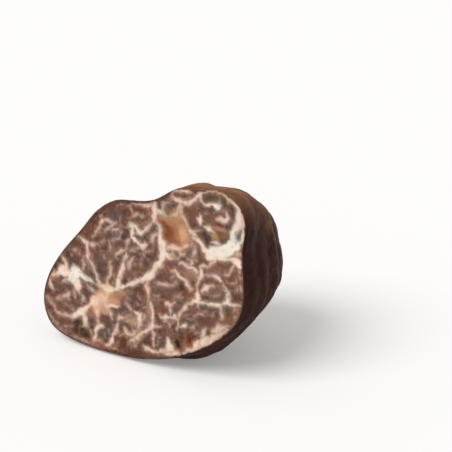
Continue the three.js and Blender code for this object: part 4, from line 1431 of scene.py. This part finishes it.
def link_surface(tree, shader, colour, grain, roughness, specular, bump_strength, bump_height):
    """The colour, a roughness between two values that follows the grain, and the grain as a bump."""
    tree.links.new(colour, shader.inputs["Base Color"])
    tree.links.new(step(tree, grain, 0.2, 0.8, *roughness), shader.inputs["Roughness"])
    shader.inputs["Specular IOR Level"].default_value = specular
    sockets = {"Height": grain, "Strength": bump_strength, "Distance": bump_height * MM}
    tree.links.new(add(tree, "ShaderNodeBump", sockets).outputs["Normal"], shader.inputs["Normal"])


print("helpers for the finishes are ready")

# %% [markdown]
# ## The cut flesh
# Fresh bianchetto flesh is a reddish grey-brown spore mass, cut by pale veins of sterile tissue. The
# spore mass is a base brown with reddish, greyish and olive clouds, and lightens towards the veins.
# Over it lie the stains, and over those hair veins that are too small to be drawn: threads where a
# noise crosses its middle value, here and there. The mass and the hair veins are a function each.

# %% The spore mass and its hair veins
SPORE_BROWN = (62, 41, 33)
SPORE_PATCHES = [
    ((98, 70, 58), 1.0, 1.5, 0.50, 0.20, 0),
    ((112, 60, 50), 1.0, 3.6, 0.42, 0.12, 2),
    ((84, 70, 76), 1.0, 3.0, 0.32, 0.12, 5),
    ((106, 80, 40), 1.0, 3.2, 0.32, 0.12, 9),
    ((116, 80, 54), 0.4, 4.5, 0.45, 0.15, 41),
]
# Pale flecks, and patches where the spore mass is darker.
FLECKS_AND_DARK_PATCHES = [
    ((160, 122, 106), 0.25, 1.1, 0.35, 0.15, 7),
    ((52, 34, 27), 0.6, 2.2, 0.35, 0.12, 31),
]
LIGHTER_NEAR_VEINS = paint(160, 122, 104)
HAIR_TINT = paint(196, 158, 140)


def spore_mass(tree, place, unevenness, depth):
    """The brown between the veins, lighter where the depth inside a vein nears zero."""
    brown = layered(tree, place, paint(*SPORE_BROWN), SPORE_PATCHES)
    near_vein = step(tree, depth, -1.1, -0.15)
    lighter = calc(tree, "MULTIPLY", near_vein, step(tree, unevenness, -0.14, 0.14, 0.08, 0.4))
    brown = mixed(tree, lighter, brown, LIGHTER_NEAR_VEINS)
    return layered(tree, place, brown, FLECKS_AND_DARK_PATCHES)


def threads(tree, place, size, width, seed):
    """Curly hair lines: 1 where a noise of the given size crosses its middle value."""
    noise = cloud_height(tree, place, size, 2.0, seed)
    off = calc(tree, "ABSOLUTE", calc(tree, "SUBTRACT", noise, 0.5))
    return step(tree, off, 0.0, width, 1.0, 0.0)


def hair_veins(tree, place, stained):
    """How much hair veins cover, in patches, and less where the flesh is stained."""
    coarse_patches = clouds(tree, place, 1.6, 0.5, 0.2, 12)
    coarse = calc(tree, "MULTIPLY", threads(tree, place, 3.2, 0.038, 11), coarse_patches)
    fine_patches = clouds(tree, place, 1.2, 0.4, 0.2, 22)
    fine = calc(tree, "MULTIPLY", threads(tree, place, 2.0, 0.05, 21), fine_patches)
    hair = calc(tree, "MAXIMUM", coarse, calc(tree, "MULTIPLY", fine, 0.8))
    return calc(tree, "MULTIPLY", hair, step(tree, stained, 0.0, 1.0, 0.36, 0.16))


print("the spore mass has", len(SPORE_PATCHES) + len(FLECKS_AND_DARK_PATCHES), "kinds of patches")

# %% [markdown]
# A drawn vein has a soft core, a faint halo round it, and a paler heart where it is thick. A smooth
# noise is added to the drawn depth, so that a vein swells and thins along its way: a clean stroke
# would look printed. A weakly drawn vein also breaks up in patches. Last comes the rind in section,
# an uneven brown line along the edge.

# %% Flesh
VEIN_WAVER = 0.68
SECTION_WAVER = 1.02
VEIN_EDGE = (-0.30, 0.28)
HALO_EDGE = (-0.85, 0.30)
HALO_SHARE = 0.30
VEIN_PATCHES = [
    ((196, 158, 134), 0.3, 1.3, 0.45, 0.25, 6),
    ((246, 236, 226), 0.4, 2.0, 0.40, 0.20, 26),
]
VEIN_HEART = paint(254, 246, 234)
SECTION_BROWN = (74, 52, 42)
SECTION_PATCHES = [((112, 80, 62), 1.0, 1.2, 0.50, 0.15, 17)]
MOIST = paint(253, 243, 239)


def vein_cover(tree, place, depth):
    """How much the drawn veins cover: core and halo, broken up where they were drawn weakly."""
    core = step(tree, depth, *VEIN_EDGE, 0.0, 1.0 - HALO_SHARE)
    halo = step(tree, depth, *HALO_EDGE, 0.0, HALO_SHARE)
    drawn = attribute(tree, "vein_strength")
    patchy = step(tree, cloud_height(tree, place, 1.4, 3.0, 14), 0.36, 0.58, -0.45, 0.1)
    weak = calc(tree, "SUBTRACT", 1.25, drawn)
    strength = calc(tree, "ADD", drawn, calc(tree, "MULTIPLY", patchy, weak))
    return calc(tree, "MULTIPLY", calc(tree, "ADD", core, halo), strength)


def vein_colour(tree, place, depth):
    """The drawn tint with dull and milky patches, and the paler heart."""
    tint = layered(tree, place, attribute(tree, "vein_tint", "Color"), VEIN_PATCHES)
    heart = calc(tree, "MULTIPLY", step(tree, depth, 0.05, 0.45), 0.5)
    return mixed(tree, heart, tint, VEIN_HEART)


def make_flesh():
    material, tree, place, shader = new_finish("cut_flesh")
    unevenness = calc(tree, "SUBTRACT", cloud_height(tree, place, 0.9, 0.8, 4), 0.5)
    depth = calc(tree, "MULTIPLY_ADD", unevenness, VEIN_WAVER, attribute(tree, "vein"))
    grain = cloud_height(tree, place, 0.35, 4.0, 3)
    flesh = spore_mass(tree, place, unevenness, depth)

    stained = attribute(tree, "stain", "Alpha")
    thinned = step(tree, grain, 0.25, 0.75, 1.0, 0.75)
    flesh = mixed(tree, calc(tree, "MULTIPLY", stained, thinned), flesh, attribute(tree, "stain", "Color"))
    flesh = mixed(tree, hair_veins(tree, place, stained), flesh, HAIR_TINT)
    flesh = mixed(tree, vein_cover(tree, place, depth), flesh, vein_colour(tree, place, depth))

    section = calc(tree, "MULTIPLY_ADD", unevenness, SECTION_WAVER, attribute(tree, "section"))
    section_brown = layered(tree, place, paint(*SECTION_BROWN), SECTION_PATCHES)
    flesh = mixed(tree, step(tree, section, -0.2, 0.2), flesh, section_brown)
    flesh = mixed(tree, 1.0, flesh, MOIST, "MULTIPLY")
    link_surface(tree, shader, flesh, grain, (0.5, 0.68), 0.12, 0.5, 0.05)
    return material


flesh_finish = make_flesh()
print("flesh:", len(flesh_finish.node_tree.nodes), "nodes")

# %% [markdown]
# ## The rind
# The rind is thin, dry and smooth to the touch. Its brown runs from tan to a red chestnut in soft
# patches, darker where it was bruised or where soil stained it, with rusty clouds and small dark
# pores. It is a shade darker next to the cut. The right flank is painted shade: the side turned away
# from the light is painted a red-black brown, with paler patches. A plain blend of the two browns
# would show as a band, so noise breaks its border up, the more so further back. A rind hardly shines,
# so its specular level is kept low.

# %% Rind
RIND_BROWN = (128, 82, 56)
RIND_PATCHES = [
    ((170, 120, 84), 1.0, 8.0, 0.50, 0.18, 0),
    ((114, 68, 46), 1.0, 4.0, 0.40, 0.14, 1),
    ((142, 74, 40), 1.0, 5.5, 0.25, 0.10, 2),
    ((84, 54, 42), 1.0, 2.6, 0.22, 0.08, 3),
]
# The flank's red-black brown is painted shade, for the side turned away from the light; its patches are
# paler.
FLANK_SHADE_BROWN = (42, 18, 12)
FLANK_SHADE_PATCHES = [
    ((64, 32, 24), 1.0, 6.0, 0.50, 0.20, 8),
    ((86, 55, 46), 0.3, 1.2, 0.35, 0.20, 18),
]
NEXT_TO_CUT = paint(104, 66, 46)
PORE_TINT = paint(40, 24, 20)
PORE_SPACING = 1.7


def painted_flank_shade(tree, place):
    """How much a place has the flank's painted shade, its border broken up by noise."""
    noise = calc(tree, "SUBTRACT", cloud_height(tree, place, 5.0, 3.0, 9), 0.5)
    broken = step(tree, attribute(tree, "behind"), 6.0, 14.0, 1.0, 3.6)
    uneven = calc(tree, "MULTIPLY_ADD", noise, broken, attribute(tree, "flank"))
    return step(tree, uneven, 0.05, 0.95)


def make_rind():
    material, tree, place, shader = new_finish("rind")
    brown = layered(tree, place, paint(*RIND_BROWN), RIND_PATCHES)
    near_cut = step(tree, attribute(tree, "behind"), 0.5, 5.0, 0.45, 0.0)
    brown = mixed(tree, near_cut, brown, NEXT_TO_CUT)
    # Painted shade: the right flank is mixed towards a red-black brown.
    dark = layered(tree, place, paint(*FLANK_SHADE_BROWN), FLANK_SHADE_PATCHES)
    colour = mixed(tree, painted_flank_shade(tree, place), brown, dark)

    grain = cloud_height(tree, place, 0.4, 4.0, 3)
    # Painted shade and light on the grain: the colour is darkened where the grain's bump is low and
    # lightened where it is high.
    shade = step(tree, grain, 0.3, 0.7, 0.82, 1.12)
    grey = add(tree, "ShaderNodeCombineColor", {0: shade, 1: shade, 2: shade}).outputs[0]
    colour = mixed(tree, 1.0, colour, grey, "MULTIPLY")
    pores = calc(tree, "MULTIPLY", specks(tree, place, 0.28, PORE_SPACING), 0.8)
    colour = mixed(tree, pores, colour, PORE_TINT)
    link_surface(tree, shader, colour, grain, (0.5, 0.72), 0.06, 0.4, 0.08)
    return material


rind_finish = make_rind()
print("rind:", len(rind_finish.node_tree.nodes), "nodes")

# %% [markdown]
# ## Relief
# The marks are not only paint. The veins stand a little proud, because the softer flesh between them
# sinks as it dries; the rind has swellings, wrinkles and pores. The right flank has long folds side
# by side, which are one noise, read through a place that is stretched along the folds. A rule can say
# all of that, so one Geometry Nodes tree moves every point of the skin along its normal. Its inputs
# are the heights and sizes of each kind of relief, in millimetres.

# %% Heights on the cut and on the rind
RELIEF = {
    "Vein Height": 0.05,
    "Flesh Grain": 0.03,
    "Swelling Height": 0.35,
    "Swelling Size": 5.0,
    "Bump Height": 0.05,
    "Bump Size": 1.5,
    "Wrinkle Depth": 0.10,
    "Wrinkle Size": 3.0,
    "Fold Height": 1.00,
    "Fold Spacing": 3.6,
    "Fold Length": 16.0,
    "Pore Depth": 0.10,
    "Pore Spacing": PORE_SPACING,
}
VEIN_SHOULDER = 0.16


def reading(tree, name):
    """A named attribute as a field."""
    sockets = {"Name": name}
    return add(tree, "GeometryNodeInputNamedAttribute", sockets, data_type="FLOAT").outputs["Attribute"]


def centred_noise(tree, place, size, detail, seed):
    """Noise of about -1 to 1, its features a given number of millimetres wide."""
    noise = add(tree, "ShaderNodeTexNoise", {
        "Vector": place, "W": seed, "Scale": calc(tree, "DIVIDE", 1.0, size), "Detail": detail,
    }, noise_dimensions="4D").outputs[0]
    return calc(tree, "MULTIPLY_ADD", noise, 2.0, -1.0)


def cut_relief(tree, place, given):
    """Height on the cut: the veins stand proud, and the flesh is grainy."""
    vein = step(tree, reading(tree, "vein"), -VEIN_SHOULDER, VEIN_SHOULDER)
    vein = calc(tree, "MULTIPLY", vein, reading(tree, "vein_strength"))
    height = calc(tree, "MULTIPLY", vein, given["Vein Height"])
    grain = calc(tree, "MULTIPLY", centred_noise(tree, place, 0.5, 3.0, 0), given["Flesh Grain"])
    return calc(tree, "ADD", height, grain)


def flank_folds(tree, given):
    """Long folds, side by side behind the cut, on the right flank only."""
    across = calc(tree, "DIVIDE", reading(tree, "behind"), given["Fold Spacing"])
    along = calc(tree, "DIVIDE", reading(tree, "around"), given["Fold Length"])
    stretched = add(tree, "ShaderNodeCombineXYZ", {0: across, 1: along}).outputs[0]
    return calc(tree, "MULTIPLY", centred_noise(tree, stretched, 1.0, 0.0, 4), reading(tree, "flank"))


def rind_relief(tree, place, given):
    """Height on the rind: swellings, small bumps, wrinkles, folds and pores."""
    swelling = centred_noise(tree, place, given["Swelling Size"], 2.0, 1)
    height = calc(tree, "MULTIPLY", swelling, given["Swelling Height"])
    bump = centred_noise(tree, place, given["Bump Size"], 3.0, 2)
    height = calc(tree, "MULTIPLY_ADD", bump, given["Bump Height"], height)
    ridge = calc(tree, "ABSOLUTE", centred_noise(tree, place, given["Wrinkle Size"], 3.0, 3))
    groove = step(tree, ridge, 0.0, 0.12, -1.0, 0.0)
    height = calc(tree, "MULTIPLY_ADD", groove, given["Wrinkle Depth"], height)
    height = calc(tree, "MULTIPLY_ADD", flank_folds(tree, given), given["Fold Height"], height)
    cells = add(tree, "ShaderNodeTexVoronoi", {
        "Vector": place, "Scale": calc(tree, "DIVIDE", 1.0, given["Pore Spacing"]),
    }).outputs["Distance"]
    pore = step(tree, cells, 0.05, 0.17, -1.0, 0.0)
    return calc(tree, "MULTIPLY_ADD", pore, given["Pore Depth"], height)


print("the deepest wrinkles are", RELIEF["Wrinkle Depth"], "mm deep")

# %% [markdown]
# The two heights meet at the knife's edge, where each fades out over a fraction of a millimetre, so
# the edge itself stays as the knife left it. Whatever would sink below the table is lifted back onto
# it. The tree ends by giving each of the two slots its finish.

# %% Relief tree
CUT_FADE = (0.0, 0.35)
RIND_FADE = (-0.7, 0.0)


def new_relief_tree():
    """An empty tree with a Skin that goes in and comes out, and the relief's inputs."""
    tree = bpy.data.node_groups.new("truffle_relief", "GeometryNodeTree")
    tree.interface.new_socket("Skin", in_out="INPUT", socket_type="NodeSocketGeometry")
    for name, value in RELIEF.items():
        socket = tree.interface.new_socket(name, in_out="INPUT", socket_type="NodeSocketFloat")
        socket.default_value = value
    tree.interface.new_socket("Skin", in_out="OUTPUT", socket_type="NodeSocketGeometry")
    return tree


def moved_skin(tree, skin, position, height):
    """The skin, each point moved along its normal by a height in millimetres, but not below the table."""
    normal = add(tree, "GeometryNodeInputNormal").outputs[0]
    metres = calc(tree, "MULTIPLY", height, MM)
    offset = add(tree, "ShaderNodeVectorMath", {0: normal, 3: metres}, operation="SCALE").outputs[0]
    moved = add(tree, "ShaderNodeVectorMath", {0: position, 1: offset}, operation="ADD").outputs[0]
    apart = add(tree, "ShaderNodeSeparateXYZ", {0: moved}).outputs
    lifted = calc(tree, "MAXIMUM", apart["Z"], 0.0)
    resting = add(tree, "ShaderNodeCombineXYZ", {0: apart["X"], 1: apart["Y"], 2: lifted}).outputs[0]
    return add(tree, "GeometryNodeSetPosition", {"Geometry": skin, "Position": resting}).outputs[0]


def make_relief():
    tree = new_relief_tree()
    given = tree.nodes.new("NodeGroupInput").outputs
    position = add(tree, "GeometryNodeInputPosition").outputs[0]
    place = add(tree, "ShaderNodeVectorMath", {0: position, 3: 1 / MM}, operation="SCALE").outputs[0]
    inset = reading(tree, "inset")
    on_face = step(tree, inset, *CUT_FADE)
    on_skin = step(tree, inset, *RIND_FADE, 1.0, 0.0)
    cut = calc(tree, "MULTIPLY", cut_relief(tree, place, given), on_face)
    rind = calc(tree, "MULTIPLY", rind_relief(tree, place, given), on_skin)
    height = calc(tree, "ADD", calc(tree, "ADD", cut, rind), reading(tree, "dent"))
    skin = moved_skin(tree, given["Skin"], position, height)
    skin = add(tree, "GeometryNodeRealizeInstances", {0: skin}).outputs[0]
    slot = add(tree, "GeometryNodeInputMaterialIndex").outputs[0]
    for test, material in (("LESS_THAN", flesh_finish), ("GREATER_THAN", rind_finish)):
        sockets = {"Geometry": skin, "Selection": calc(tree, test, slot, 0.5), "Material": material}
        skin = add(tree, "GeometryNodeSetMaterial", sockets).outputs[0]
    tree.links.new(skin, tree.nodes.new("NodeGroupOutput").inputs["Skin"])
    return tree


relief = make_relief()
print("relief:", len(relief.nodes), "nodes and", len(RELIEF), "inputs")

# %% [markdown]
# A modifier puts the tree on the truffle. Its result is kept as a plain mesh and the modifier goes
# away. Shading is smooth everywhere but over the knife's edge, which stays sharp.

# %% Put the relief on
SHARP_FROM = math.radians(50)


def apply_relief(piece, tree):
    """Puts the tree on the piece, sets its inputs and keeps the result as the piece's plain mesh."""
    piece.data.materials.append(flesh_finish)
    piece.data.materials.append(rind_finish)
    modifier = piece.modifiers.new("relief", "NODES")
    modifier.node_group = tree
    for item in tree.interface.items_tree:
        if item.item_type == "SOCKET" and item.name in RELIEF:
            modifier[item.identifier] = RELIEF[item.name]
    evaluated = piece.evaluated_get(bpy.context.evaluated_depsgraph_get())
    plain = bpy.data.meshes.new_from_object(evaluated)
    piece.modifiers.remove(modifier)
    piece.data = plain
    plain.shade_smooth()
    plain.set_sharp_from_angle(angle=SHARP_FROM)


apply_relief(truffle, relief)
print("materials:", [slot.name for slot in truffle.data.materials])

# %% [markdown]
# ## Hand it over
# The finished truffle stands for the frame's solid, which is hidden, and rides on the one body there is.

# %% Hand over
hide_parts("truffle")
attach(truffle, "root")
